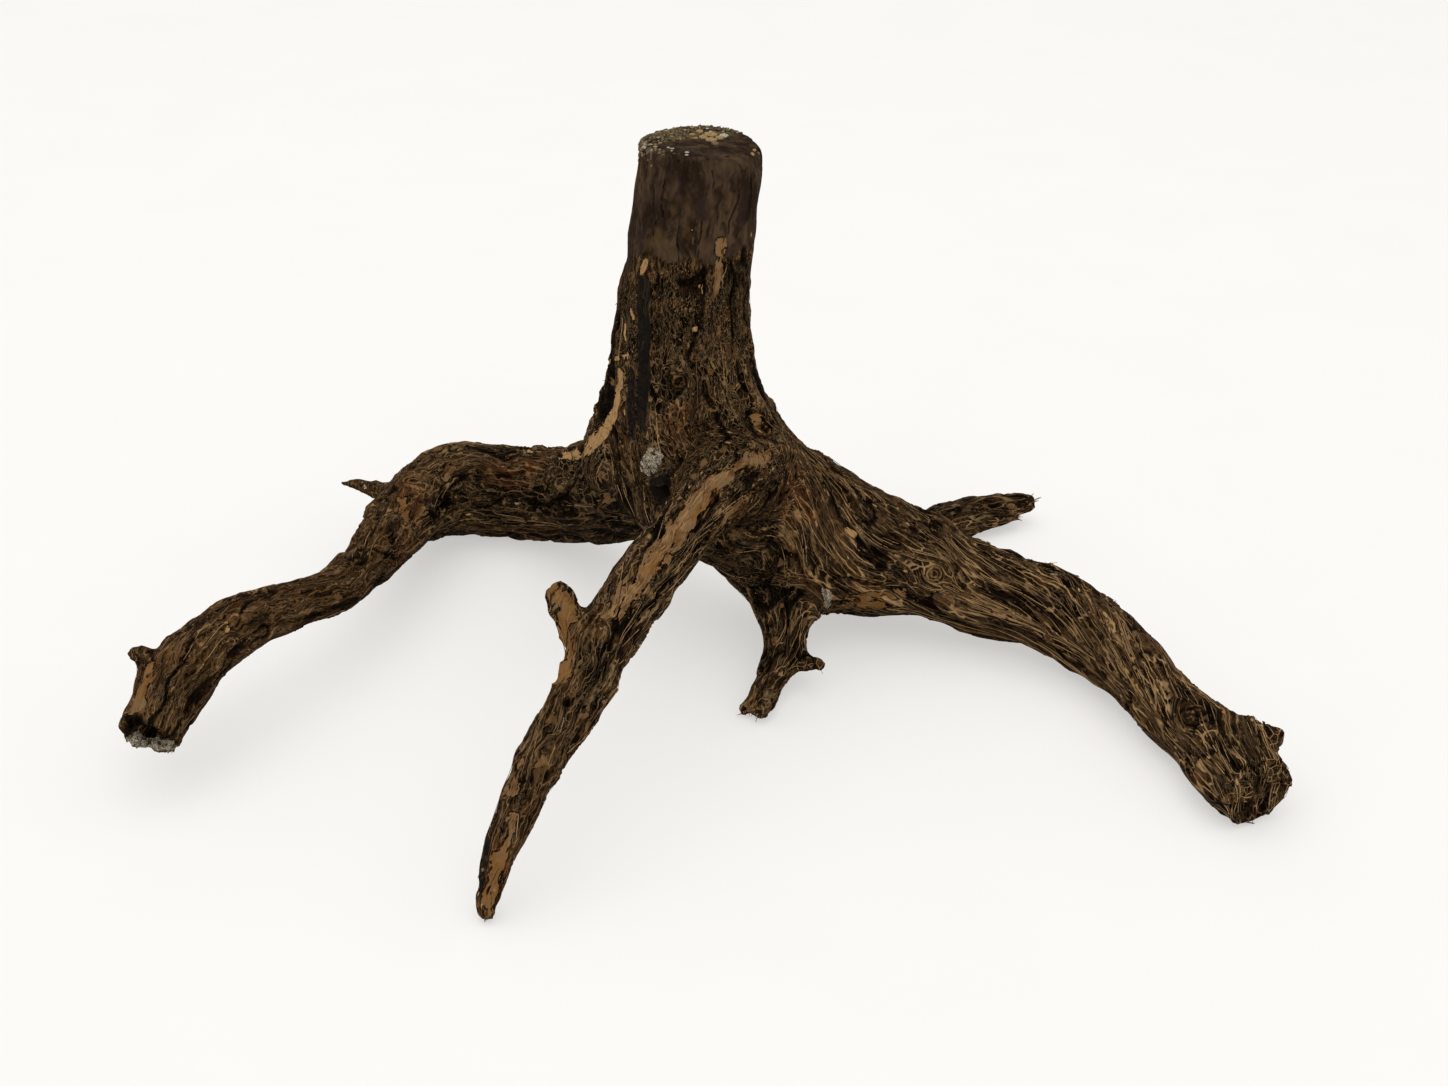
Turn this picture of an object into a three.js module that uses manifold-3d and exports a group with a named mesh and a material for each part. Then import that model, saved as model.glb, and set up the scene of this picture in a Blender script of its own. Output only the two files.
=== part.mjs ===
// A weathered piece of driftwood: the sawn foot of a small tree, standing upright on its spread roots.
// Millimetres, +Z up. It rests on the low points of its roots at z = 0, centred on the origin.
import * as THREE from "three";
import { mergeVertices } from "three/addons/utils/BufferGeometryUtils.js";
import Module from "manifold-3d";

const wasm = await Module();
wasm.setup();

// Driving dimensions of the whole piece
const SAWN_HEIGHT = 140.3;
const SAWN_LEAN = 0.03; // drop of the saw cut towards +X, as a share of its width
const SAW_SPARE = 7; // wood above the cut, gone once it is sawn
const GROWTH_BLEND = 11; // reach of the smooth web of wood between two limbs
const LUMP_DEPTH = 0.55; // swell and hollow of the worn surface
const LUMP_LENGTH = 7;
const WHOLE_WIDTH = 400; // side of the blocks that trim the sawn top and the feet
const BREAK_WIDTH = 40; // side of the blocks that take off a broken end

// Each limb is a line of stations [x, y, z, radius] along its pith, chosen by hand, from the crown outwards.
// Its flutes are shallow ridges of the given count round the limb, turning slowly as they run along it.
const TRUNK = {
  stations: [
    [-5.8, 39, 158, 14.8],
    [-5.8, 39, 141, 15.1],
    [-6.9, 39, 126, 15.4],
    [-8.5, 39, 110, 16.1],
    [-9.3, 39, 96, 16.7],
    [-9.2, 39, 84, 17.3],
    [-8, 38, 73, 18.5],
    [-6, 37, 61, 20],
    [-4, 38, 50, 20.3],
  ],
  flutes: { count: 7, depth: 0.65, turn: 0.004 },
};
const LEFT_ROOT = {
  stations: [
    [-8, 46, 46, 15],
    [-23, 67, 32, 14.5],
    [-40, 87, 20, 14],
    [-54, 98, 14.8, 13.8],
    [-68, 103, 12.9, 13.8],
    [-79.5, 102, 13.3, 14.2],
    [-88.8, 88, 16.8, 11.4],
    [-93, 66, 19.8, 9.2],
    [-97, 43, 21.6, 7.2],
    [-102.7, 25, 22.7, 6.4],
    [-110, 16, 23.8, 6],
    [-117, 8, 25, 6.6],
    [-124.5, -2, 26, 7.4],
    [-130.3, -11.5, 25.4, 8.4],
    [-134, -22, 23.2, 8.6],
    [-136.3, -31, 19.8, 7.9],
    [-137.6, -39, 16, 7.2],
    [-138.5, -46, 12.5, 6.6],
  ],
  flutes: { count: 5, depth: 0.6, turn: 0.012 },
};
const RIGHT_ROOT = {
  stations: [
    [3, 43, 46, 19],
    [18, 48, 33.5, 18.4],
    [35, 47, 23.2, 18.5],
    [50, 46, 19.6, 15.2],
    [61, 42, 17.2, 13.1],
    [70, 38, 15.9, 12.3],
    [86, 30.4, 14, 11.7],
    [97, 20.4, 12, 10.5],
    [106, 4, 10.6, 9.1],
    [112.8, -11.5, 9.5, 8.6],
    [119, -26, 9, 9.3],
    [123.5, -41, 9.2, 9.7],
    [126.6, -52, 10.2, 9.2],
    [130, -61, 11.5, 8.6],
  ],
  flutes: { count: 6, depth: 0.7, turn: 0.01 },
};
const FRONT_ROOT = {
  stations: [
    [6, 31, 57, 10],
    [4, 21, 59.5, 9.2],
    [-2, 10, 59, 9],
    [-8.3, 0, 56, 8.4],
    [-16.6, -13, 51, 7.8],
    [-22.7, -24, 47, 7.6],
    [-27.8, -35, 43, 7.5],
    [-32.3, -48, 38.5, 6.6],
    [-36, -56.5, 35, 6.1],
    [-40.2, -63, 30, 5.8],
    [-44.1, -70, 24.5, 5.1],
    [-47.3, -75, 18.5, 4.7],
    [-50.3, -79.5, 12.3, 4.2],
    [-52.2, -83, 6, 3.5],
    [-52.6, -84.8, 1.6, 3],
  ],
  flutes: { count: 4, depth: 0.3, turn: 0.02 },
};
const SMALL_ROOT = {
  stations: [
    [3, 50, 34, 13.5],
    [8.5, 47, 25.8, 11.4],
    [13.9, 38, 18.5, 9.2],
    [16.4, 28, 13, 7.3],
    [16, 18, 9.6, 5.9],
    [13.1, 9, 6.8, 4.9],
    [9.2, 2, 4.7, 3.8],
    [5.8, -3, 2.2, 2.8],
  ],
  flutes: { count: 4, depth: 0.35, turn: 0.015 },
};
const BUTTRESS = {
  stations: [
    [-12.5, 40, 90, 12],
    [-18.4, 44, 73, 12],
    [-24.6, 50, 58, 11.2],
    [-30, 62, 44, 10.2],
    [-38, 78, 27, 10],
  ],
  flutes: { count: 4, depth: 0.5, turn: 0.01 },
};
const BACK_ROOT = {
  stations: [
    [20, 56, 20, 10],
    [39, 70, 13, 7.6],
    [58, 86.5, 7.8, 5.7],
    [67, 97.5, 6, 5.6],
    [75, 104, 4.7, 5.5],
    [83, 108, 4.6, 5.1],
    [90, 108.5, 6, 3.9],
    [95, 107.5, 7.4, 2.6],
  ],
  flutes: { count: 4, depth: 0.3, turn: 0.02 },
};
const LIMBS = [TRUNK, BUTTRESS, LEFT_ROOT, RIGHT_ROOT, FRONT_ROOT, SMALL_ROOT, BACK_ROOT];

// Twigs and stubs too thin for the grown surface: stations [x, y, z, radius], sunk well into their limb.
const SPURS = {
  leftThorn: [
    [-91, 80, 17.5, 6],
    [-96, 84, 20.2, 4.2],
    [-102, 86, 22, 2.8],
    [-108, 85.5, 24, 1.7],
    [-112.5, 84.5, 25.2, 0.9],
  ],
  leftTipNub: [
    [-133, -20, 24, 5.5],
    [-138, -19.5, 27, 4],
    [-143, -19, 28.8, 2.6],
    [-146, -18, 29.6, 1.3],
  ],
  rightEndStub: [
    [119, -30, 9, 6.5],
    [124, -32, 13, 5.8],
    [129, -36, 16.5, 4.5],
    [133, -40, 18, 3],
  ],
  frontStub: [
    [-29, -44, 41, 5.6],
    [-33.4, -37.5, 44, 4.4],
    [-37, -32, 48, 3.9],
    [-39.4, -28.5, 50.8, 3.5],
    [-40.4, -27, 52.3, 2.8],
  ],
  smallSideStub: [
    [14, 15, 9, 4.4],
    [19, 13, 8.6, 3],
    [23, 11.5, 7.8, 2.4],
    [27, 10, 7.2, 2.2],
  ],
  smallForkProng: [
    [13.6, 10, 7.2, 4.3],
    [12.2, 3.5, 5.2, 3.3],
    [10.4, -2.5, 3.7, 2.8],
    [9, -5.8, 2.1, 2.3],
  ],
  backLowerProng: [
    [66, 92, 6.5, 5],
    [76, 98, 4.4, 3.2],
    [84, 101, 4.2, 2.4],
    [90, 103, 4.6, 1.3],
  ],
};
const SPUR_SIDES = 10;

// Knots: where a side branch broke or was cut away. Position on the surface, outward direction, collar radius.
const KNOTS = [
  { at: [-18, 20, 60], out: [-0.55, -0.82, 0.15], radius: 4.4 },
  { at: [10, 26, 69], out: [0.8, -0.58, 0.1], radius: 3.9 },
  { at: [112, -24, 14.5], out: [-0.25, -0.72, 0.65], radius: 3.7 },
];
const KNOT_SIDES = 14;

// Hollows that the smooth surface sinks into: centre and radius.
const HOLLOWS = [
  { at: [-18, 17, 50], radius: 6 },
  { at: [-41, 74, 40], radius: 7 },
];
const HOLLOW_BLEND = 5;

// The rotten heart of the left root, open at its broken end: stations from inside to past the mouth.
const HEART_HOLLOW = [
  [-132.5, -19, 24, 1.6],
  [-134.8, -26, 21.6, 3],
  [-136.7, -33, 18.8, 4.1],
  [-138, -39.5, 15.6, 4.8],
  [-140, -50, 10.5, 5.5],
];
const HEART_SIDES = 10;

// Broken ends: everything past the point, along the direction, is gone.
const LEFT_BREAK = { at: [-137.6, -38.5, 16.2], along: [-0.14, -0.87, -0.46] };
const RIGHT_BREAK = { at: [126.5, -50, 10], along: [0.32, -0.94, 0.05] };

// The saw cut across the trunk, and the surface that the piece stands on
const SAW_CUT = { at: [-6, 39, SAWN_HEIGHT], along: [SAWN_LEAN, 0, 1] };
const FLOOR = { at: [0, 0, 0], along: [0, 0, -1] };

// Spacing of the surface samples, as stretches [up to, step]: finer where the thin roots run
const GRID = {
  x: { from: -158, stretches: [[-84, 3.4], [-58, 5], [-36, 3.5], [64, 5], [146, 3.7]] },
  y: { from: -92, stretches: [[20, 3.1], [124, 4.7]] },
  z: { from: -9, stretches: [[30, 3.3], [64, 4], [154, 7]] },
};

// Bark and bare wood
const WOOD = { color: 0x4b3b2b, roughness: 0.86, metalness: 0 };

const LIMB_STEP = 4; // length of the straight stretches that a limb's smooth line is measured on
const SNAP_STEPS = 3; // moves of a vertex towards the surface, none longer than SNAP_MM
const SNAP_MM = 1;
const SLOPE_MM = 0.2; // distance to each side over which the slope is measured
const LEAST_SLOPE = 0.5;
const FILL_MM = 0.1;
const WELD_MM = 1e-4;

// A limb's pith as a fine line with its radius and a frame that doesn't twist, for measuring to it.
function traceLimb({ stations, flutes }) {
  const smooth = (points) => new THREE.CatmullRomCurve3(points, false, "catmullrom");
  const pith = smooth(stations.map(([x, y, z]) => new THREE.Vector3(x, y, z)));
  const girth = smooth(stations.map(([, , , radius]) => new THREE.Vector3(radius, 0, 0)));
  const steps = Math.ceil(pith.getLength() / LIMB_STEP);
  const nodes = [];
  const box = new THREE.Box3();
  let side = new THREE.Vector3(0, -1, 0);
  let along = 0;
  for (let i = 0; i <= steps; i += 1) {
    const point = pith.getPoint(i / steps);
    const tangent = pith.getTangent(i / steps);
    side = side.clone().addScaledVector(tangent, -side.dot(tangent)).normalize();
    if (i > 0) along += point.distanceTo(nodes[i - 1].point);
    const radius = girth.getPoint(i / steps).x;
    nodes.push({ point, radius, side, third: tangent.clone().cross(side), along });
    box.expandByPoint(point.clone().addScalar(radius + flutes.depth));
    box.expandByPoint(point.clone().subScalar(radius + flutes.depth));
  }
  return { nodes, flutes, box };
}

// Distance from a point to the box round a limb: never more than the distance to the limb.
function boxDistance({ box }, x, y, z) {
  const dx = Math.max(box.min.x - x, 0, x - box.max.x);
  const dy = Math.max(box.min.y - y, 0, y - box.max.y);
  const dz = Math.max(box.min.z - z, 0, z - box.max.z);
  return Math.hypot(dx, dy, dz);
}

// Distance from a point to a limb's fluted surface: negative inside.
function limbDistance({ nodes, flutes }, x, y, z) {
  let best = Infinity;
  let bestNode = 0;
  let bestShare = 0;
  for (let i = 0; i + 1 < nodes.length; i += 1) {
    const a = nodes[i].point;
    const b = nodes[i + 1].point;
    const bx = b.x - a.x;
    const by = b.y - a.y;
    const bz = b.z - a.z;
    const raw = ((x - a.x) * bx + (y - a.y) * by + (z - a.z) * bz) / (bx * bx + by * by + bz * bz);
    const share = Math.min(1, Math.max(0, raw));
    const gap = Math.hypot(x - a.x - share * bx, y - a.y - share * by, z - a.z - share * bz);
    const distance = gap - nodes[i].radius - share * (nodes[i + 1].radius - nodes[i].radius);
    if (distance < best) {
      best = distance;
      bestNode = i;
      bestShare = share;
    }
  }
  const { point, side, third, along } = nodes[bestNode];
  const dx = x - point.x;
  const dy = y - point.y;
  const dz = z - point.z;
  const angle = Math.atan2(dx * third.x + dy * third.y + dz * third.z, dx * side.x + dy * side.y + dz * side.z);
  const run = along + bestShare * LIMB_STEP;
  return best - flutes.depth * Math.cos(flutes.count * (angle + flutes.turn * run));
}

// Smallest of two distances, with a round web of the given reach where they meet.
function blend(a, b, reach) {
  const overlap = Math.max(reach - Math.abs(a - b), 0) / reach;
  return Math.min(a, b) - (overlap * overlap * reach) / 4;
}

// Swell and hollow of the worn wood.
function lump(x, y, z) {
  const u = x / LUMP_LENGTH;
  const v = y / LUMP_LENGTH;
  const w = z / LUMP_LENGTH;
  return LUMP_DEPTH * (Math.sin(u + Math.sin(v)) * Math.cos(v - w / 2) + Math.sin(w + Math.cos(u)) / 2);
}

const TRACED = LIMBS.map(traceLimb);

// Distance from a point to the grown surface of the whole piece: negative inside.
function grownDistance(x, y, z) {
  let distance = Infinity;
  for (const limb of TRACED) {
    if (boxDistance(limb, x, y, z) > distance + GROWTH_BLEND) continue;
    const next = limbDistance(limb, x, y, z);
    distance = distance === Infinity ? next : blend(distance, next, GROWTH_BLEND);
  }
  for (const { at, radius } of HOLLOWS) {
    const hollow = Math.hypot(x - at[0], y - at[1], z - at[2]) - radius;
    distance = -blend(-distance, hollow, HOLLOW_BLEND);
  }
  return Math.max(distance + lump(x, y, z), z - SAWN_HEIGHT - SAW_SPARE);
}

// Sample positions along one axis.
function samples({ from, stretches }) {
  const line = [from];
  for (const [end, step] of stretches) {
    while (line.at(-1) < end) line.push(line.at(-1) + step);
  }
  return line;
}

// Moves a point onto the surface where the distance is zero, along the slope of the distance.
function snap(distance, point) {
  for (let i = 0; i < SNAP_STEPS; i += 1) {
    const { x, y, z } = point;
    const value = distance(x, y, z);
    const slope = new THREE.Vector3(
      distance(x + SLOPE_MM, y, z) - distance(x - SLOPE_MM, y, z),
      distance(x, y + SLOPE_MM, z) - distance(x, y - SLOPE_MM, z),
      distance(x, y, z + SLOPE_MM) - distance(x, y, z - SLOPE_MM),
    ).divideScalar(2 * SLOPE_MM);
    const step = THREE.MathUtils.clamp(-value / Math.max(slope.lengthSq(), LEAST_SLOPE), -SNAP_MM, SNAP_MM);
    point.addScaledVector(slope, step);
  }
  return point;
}

// Where the corners of a sample square lie inside and outside in turn, the weaker of the outside ones goes inside,
// so that no two faces of the surface touch along an edge.
function clearSaddles(values, size, at) {
  const step = [at(1, 0, 0), at(0, 1, 0), at(0, 0, 1)];
  for (let changed = true; changed; ) {
    changed = false;
    for (let k = 0; k + 1 < size[2]; k += 1)
      for (let j = 0; j + 1 < size[1]; j += 1)
        for (let i = 0; i + 1 < size[0]; i += 1)
          for (let axis = 0; axis < 3; axis += 1) {
            const u = step[axis];
            const v = step[(axis + 1) % 3];
            const base = at(i, j, k);
            const [a, b, c, d] = [base, base + u, base + u + v, base + v];
            const [aIn, bIn, cIn, dIn] = [a, b, c, d].map((corner) => values[corner] < 0);
            if (aIn !== cIn || bIn !== dIn || aIn === bIn) continue;
            const [p, q] = aIn ? [b, d] : [a, c];
            const weaker = values[p] < values[q] ? p : q;
            values[weaker] = -FILL_MM;
            changed = true;
          }
  }
}

// The surface where a distance is zero, as a closed mesh: one vertex in each sample cell that it crosses,
// and one four-sided face round each sample edge that it crosses.
function surfaceNet(distance, xs, ys, zs) {
  const size = [xs.length, ys.length, zs.length];
  const at = (i, j, k) => (k * size[1] + j) * size[0] + i;
  const values = new Float32Array(size[0] * size[1] * size[2]);
  for (let k = 0; k < size[2]; k += 1)
    for (let j = 0; j < size[1]; j += 1)
      for (let i = 0; i < size[0]; i += 1) values[at(i, j, k)] = distance(xs[i], ys[j], zs[k]);
  clearSaddles(values, size, at);

  const positions = [];
  const vertexOf = new Map();
  const vertexIn = (i, j, k) => {
    const key = at(i, j, k);
    if (vertexOf.has(key)) return vertexOf.get(key);
    const sum = new THREE.Vector3();
    let crossings = 0;
    const corner = (c) => [i + (c & 1), j + ((c >> 1) & 1), k + (c >> 2)];
    for (let c = 0; c < 8; c += 1) {
      for (let axis = 0; axis < 3; axis += 1) {
        const other = c | (1 << axis);
        if (other === c) continue;
        const p = corner(c);
        const q = corner(other);
        const a = values[at(...p)];
        const b = values[at(...q)];
        if (a < 0 === b < 0) continue;
        const share = a / (a - b);
        const from = new THREE.Vector3(xs[p[0]], ys[p[1]], zs[p[2]]);
        sum.add(from.lerp(new THREE.Vector3(xs[q[0]], ys[q[1]], zs[q[2]]), share));
        crossings += 1;
      }
    }
    const vertex = snap(distance, sum.divideScalar(crossings));
    positions.push(vertex.x, vertex.y, vertex.z);
    vertexOf.set(key, positions.length / 3 - 1);
    return positions.length / 3 - 1;
  };

  const index = [];
  for (let axis = 0; axis < 3; axis += 1) {
    const u = (axis + 1) % 3;
    const v = (axis + 2) % 3;
    const cell = [0, 0, 0];
    for (cell[2] = 1; cell[2] + 1 < size[2]; cell[2] += 1)
      for (cell[1] = 1; cell[1] + 1 < size[1]; cell[1] += 1)
        for (cell[0] = 1; cell[0] + 1 < size[0]; cell[0] += 1) {
          const next = [...cell];
          next[axis] += 1;
          const inside = values[at(...cell)] < 0;
          if (inside === values[at(...next)] < 0) continue;
          const ring = [[0, 0], [-1, 0], [-1, -1], [0, -1]].map(([du, dv]) => {
            const around = [...cell];
            around[u] += du;
            around[v] += dv;
            return vertexIn(...around);
          });
          if (!inside) ring.reverse();
          index.push(ring[0], ring[1], ring[2], ring[0], ring[2], ring[3]);
        }
  }
  const geometry = new THREE.BufferGeometry();
  geometry.setAttribute("position", new THREE.Float32BufferAttribute(positions, 3));
  geometry.setIndex(index);
  return geometry;
}

// A closed round tube along stations [x, y, z, radius], with its ends closed by shallow points.
function taperedTube(stations, sides) {
  const points = stations.map(([x, y, z]) => new THREE.Vector3(x, y, z));
  const positions = [];
  const index = [];
  let side = new THREE.Vector3(0, 0, 1);
  points.forEach((point, i) => {
    const before = points[Math.max(i - 1, 0)];
    const after = points[Math.min(i + 1, points.length - 1)];
    const tangent = after.clone().sub(before).normalize();
    side = side.clone().addScaledVector(tangent, -side.dot(tangent)).normalize();
    const third = tangent.clone().cross(side);
    for (let s = 0; s < sides; s += 1) {
      const turn = (2 * Math.PI * s) / sides;
      const rim = point.clone();
      rim.addScaledVector(side, stations[i][3] * Math.cos(turn));
      rim.addScaledVector(third, stations[i][3] * Math.sin(turn));
      positions.push(...rim.toArray());
    }
  });
  const last = points.length - 1;
  positions.push(...points[0].toArray(), ...points[last].toArray());
  const startPole = points.length * sides;
  for (let s = 0; s < sides; s += 1) {
    const t = (s + 1) % sides;
    for (let i = 0; i < last; i += 1) {
      const a = i * sides;
      const b = a + sides;
      index.push(a + s, a + t, b + t, a + s, b + t, b + s);
    }
    index.push(startPole, t, s, startPole + 1, last * sides + s, last * sides + t);
  }
  const geometry = new THREE.BufferGeometry();
  geometry.setAttribute("position", new THREE.Float32BufferAttribute(positions, 3));
  geometry.setIndex(index);
  return geometry;
}

// A low collar of healed wood round the dished end of a lost branch.
function knotCollar({ at, out, radius }) {
  const profile = [
    [0, -radius],
    [1.15 * radius, -radius],
    [1.12 * radius, -0.05 * radius],
    [0.94 * radius, 0.24 * radius],
    [0.74 * radius, 0.2 * radius],
    [0.5 * radius, -0.12 * radius],
    [0, -0.28 * radius],
  ].map(([across, up]) => new THREE.Vector2(across, up));
  const geometry = new THREE.LatheGeometry(profile, KNOT_SIDES);
  const outward = new THREE.Vector3(...out).normalize();
  geometry.applyQuaternion(new THREE.Quaternion().setFromUnitVectors(new THREE.Vector3(0, 1, 0), outward));
  return geometry.translate(...at);
}

// A block of the given width on the far side of a plane through a point.
function beyond({ at, along }, width) {
  const outward = new THREE.Vector3(...along).normalize();
  const geometry = new THREE.BoxGeometry(width, width, width);
  geometry.translate(0, 0, width / 2);
  geometry.applyQuaternion(new THREE.Quaternion().setFromUnitVectors(new THREE.Vector3(0, 0, 1), outward));
  return geometry.translate(...at);
}

// A mesh as a solid that can be joined and cut.
function solidOf(geometry) {
  const bare = new THREE.BufferGeometry();
  bare.setAttribute("position", geometry.getAttribute("position"));
  bare.setIndex(geometry.getIndex());
  const merged = mergeVertices(bare, WELD_MM);
  return new wasm.Manifold(
    new wasm.Mesh({
      numProp: 3,
      vertProperties: merged.getAttribute("position").array,
      triVerts: new Uint32Array(merged.getIndex().array),
    }),
  );
}

// A solid back as a mesh.
function geometryOf(solid) {
  const { numProp, vertProperties, triVerts } = solid.getMesh();
  const positions = [];
  for (let i = 0; i < vertProperties.length; i += numProp) positions.push(...vertProperties.subarray(i, i + 3));
  const geometry = new THREE.BufferGeometry();
  geometry.setAttribute("position", new THREE.Float32BufferAttribute(positions, 3));
  geometry.setIndex(Array.from(triVerts));
  return geometry;
}

// The whole piece: grown wood with its spurs and knots, broken, hollowed, sawn off above and worn flat below.
function growDriftwood() {
  let solid = solidOf(surfaceNet(grownDistance, samples(GRID.x), samples(GRID.y), samples(GRID.z)));
  for (const stations of Object.values(SPURS)) solid = solid.add(solidOf(taperedTube(stations, SPUR_SIDES)));
  for (const knot of KNOTS) solid = solid.add(solidOf(knotCollar(knot)));
  solid = solid.subtract(solidOf(beyond(LEFT_BREAK, BREAK_WIDTH)));
  solid = solid.subtract(solidOf(beyond(RIGHT_BREAK, BREAK_WIDTH)));
  solid = solid.subtract(solidOf(taperedTube(HEART_HOLLOW, HEART_SIDES)));
  solid = solid.subtract(solidOf(beyond(SAW_CUT, WHOLE_WIDTH)));
  solid = solid.subtract(solidOf(beyond(FLOOR, WHOLE_WIDTH)));
  return geometryOf(solid);
}

const geometry = growDriftwood();
geometry.computeBoundingBox();
const middle = geometry.boundingBox.getCenter(new THREE.Vector3());
geometry.translate(-middle.x, -middle.y, -geometry.boundingBox.min.z);
geometry.computeVertexNormals();

const driftwood = new THREE.Mesh(geometry, new THREE.MeshStandardMaterial(WOOD));
driftwood.name = "driftwood";

const piece = new THREE.Group();
piece.add(driftwood);

export default piece;
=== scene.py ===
import math

import bmesh
import bpy
import numpy as np
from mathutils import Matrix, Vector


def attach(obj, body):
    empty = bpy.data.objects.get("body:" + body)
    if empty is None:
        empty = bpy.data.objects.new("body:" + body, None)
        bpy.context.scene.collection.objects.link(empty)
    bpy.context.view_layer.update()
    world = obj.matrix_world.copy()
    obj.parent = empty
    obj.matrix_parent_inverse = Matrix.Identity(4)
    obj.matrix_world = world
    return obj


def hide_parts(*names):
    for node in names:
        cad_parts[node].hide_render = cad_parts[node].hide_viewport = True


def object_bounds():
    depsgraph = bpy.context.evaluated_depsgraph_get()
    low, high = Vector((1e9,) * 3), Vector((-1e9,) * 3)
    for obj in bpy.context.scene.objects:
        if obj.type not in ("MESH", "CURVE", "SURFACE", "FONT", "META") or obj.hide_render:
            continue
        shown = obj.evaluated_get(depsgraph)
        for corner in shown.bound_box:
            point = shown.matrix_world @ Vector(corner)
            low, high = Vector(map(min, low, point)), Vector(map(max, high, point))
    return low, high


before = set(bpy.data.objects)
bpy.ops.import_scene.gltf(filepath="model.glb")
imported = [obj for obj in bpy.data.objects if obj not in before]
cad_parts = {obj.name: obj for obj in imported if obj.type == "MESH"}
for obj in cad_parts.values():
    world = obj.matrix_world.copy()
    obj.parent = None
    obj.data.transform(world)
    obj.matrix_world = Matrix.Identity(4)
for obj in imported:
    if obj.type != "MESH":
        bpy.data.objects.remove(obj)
cad_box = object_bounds()

# THE WOOD: one trunk stub with its roots, grown as one piece, then soaked and dried until only
# the fibrous inner bark and some bare tan wood are left. The fine skin starts from the frame's
# own solid, rounded and cut into cells of under a millimetre, and the bark's relief is raised on it.
MM = 0.001
CELL = 0.93
BOX_MIDDLE = (5.6, -15.2)
# The skin's least distance from the sides of the frame's box, and the most that a mask says.
EDGE_ROOM = 0.01
FAR = 9.0

# The heart line of each limb: x, y, z and radius in millimetres, from the trunk outwards, before
# BOX_MIDDLE is added to x and y.
TRUNK = [
    (-5.8, 39, 158, 14.8), (-5.8, 39, 141, 15.1), (-6.9, 39, 126, 15.4), (-8.5, 39, 110, 16.1),
    (-9.3, 39, 96, 16.7), (-9.2, 39, 84, 17.3), (-8, 38, 73, 18.5), (-6, 37, 61, 20), (-4, 38, 50, 20.3),
]
BUTTRESS = [
    (-12.5, 40, 90, 12), (-18.4, 44, 73, 12), (-24.6, 50, 58, 11.2), (-30, 62, 44, 10.2), (-38, 78, 27, 10),
]
LEFT_ROOT = [
    (-8, 46, 46, 15), (-23, 67, 32, 14.5), (-40, 87, 20, 14), (-54, 98, 14.8, 13.8), (-68, 103, 12.9, 13.8),
    (-79.5, 102, 13.3, 14.2), (-88.8, 88, 16.8, 11.4), (-93, 66, 19.8, 9.2), (-97, 43, 21.6, 7.2),
    (-102.7, 25, 22.7, 6.4), (-110, 16, 23.8, 6), (-117, 8, 25, 6.6), (-124.5, -2, 26, 7.4),
    (-130.3, -11.5, 25.4, 8.4), (-134, -22, 23.2, 8.6), (-136.3, -31, 19.8, 7.9), (-138.5, -46, 12.5, 6.6),
]
RIGHT_ROOT = [
    (3, 43, 46, 19), (18, 48, 33.5, 18.4), (35, 47, 23.2, 18.5), (50, 46, 19.6, 15.2), (61, 42, 17.2, 13.1),
    (70, 38, 15.9, 12.3), (86, 30.4, 14, 11.7), (97, 20.4, 12, 10.5), (106, 4, 10.6, 9.1),
    (112.8, -11.5, 9.5, 8.6), (119, -26, 9, 9.3), (123.5, -41, 9.2, 9.7), (125.6, -47.5, 8.4, 9),
    (127.2, -51, 4, 8.5),
    (127.6, -52, -4, 8.5),
]
FRONT_ROOT = [
    (6, 31, 57, 10), (4, 21, 59.5, 9.2), (-2, 10, 59, 9), (-8.3, 0, 56, 8.4), (-16.6, -13, 51, 7.8),
    (-22.7, -24, 47, 7.6), (-27.8, -35, 43, 7.5), (-32.3, -48, 38.5, 6.6), (-40.2, -63, 30, 5.8),
    (-47.3, -75, 18.5, 4.7), (-52.2, -83, 6, 3.5), (-52.6, -84.8, 1.6, 3),
]
SMALL_ROOT = [
    (3, 50, 34, 13.5), (8.5, 47, 25.8, 11.4), (13.9, 38, 18.5, 9.2), (16.4, 28, 13, 7.3),
    (16, 18, 9.6, 5.9), (13.1, 9, 6.8, 4.9), (9.2, 2, 4.7, 3.8), (5.8, -3, 2.2, 2.8),
]
BACK_ROOT = [
    (20, 56, 20, 10), (39, 70, 13, 7.6), (58, 86.5, 7.8, 5.7), (75, 104, 4.7, 5.5), (90, 108.5, 6, 3.9),
    (95, 107.5, 7.4, 2.6),
]
# Each limb with how far down the trunk its fibres begin and how much they wind, in radians a millimetre.
LIMBS = [
    (TRUNK, 0, 0.0), (BUTTRESS, 68, 0.0), (LEFT_ROOT, 112, 0.004), (RIGHT_ROOT, 112, 0.02),
    (FRONT_ROOT, 101, -0.008), (SMALL_ROOT, 124, 0.006), (BACK_ROOT, 138, 0.01),
]


def turned(v, start, end):
    """The vector v after the smallest turn that takes direction start to direction end:
    v plus w x v plus w x (w x v) / (1 + start . end), where w is start x end."""
    w = np.cross(start, end)
    once = np.cross(w, v)
    return v + once + np.cross(w, once) / (1.0 + np.dot(start, end))


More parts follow.
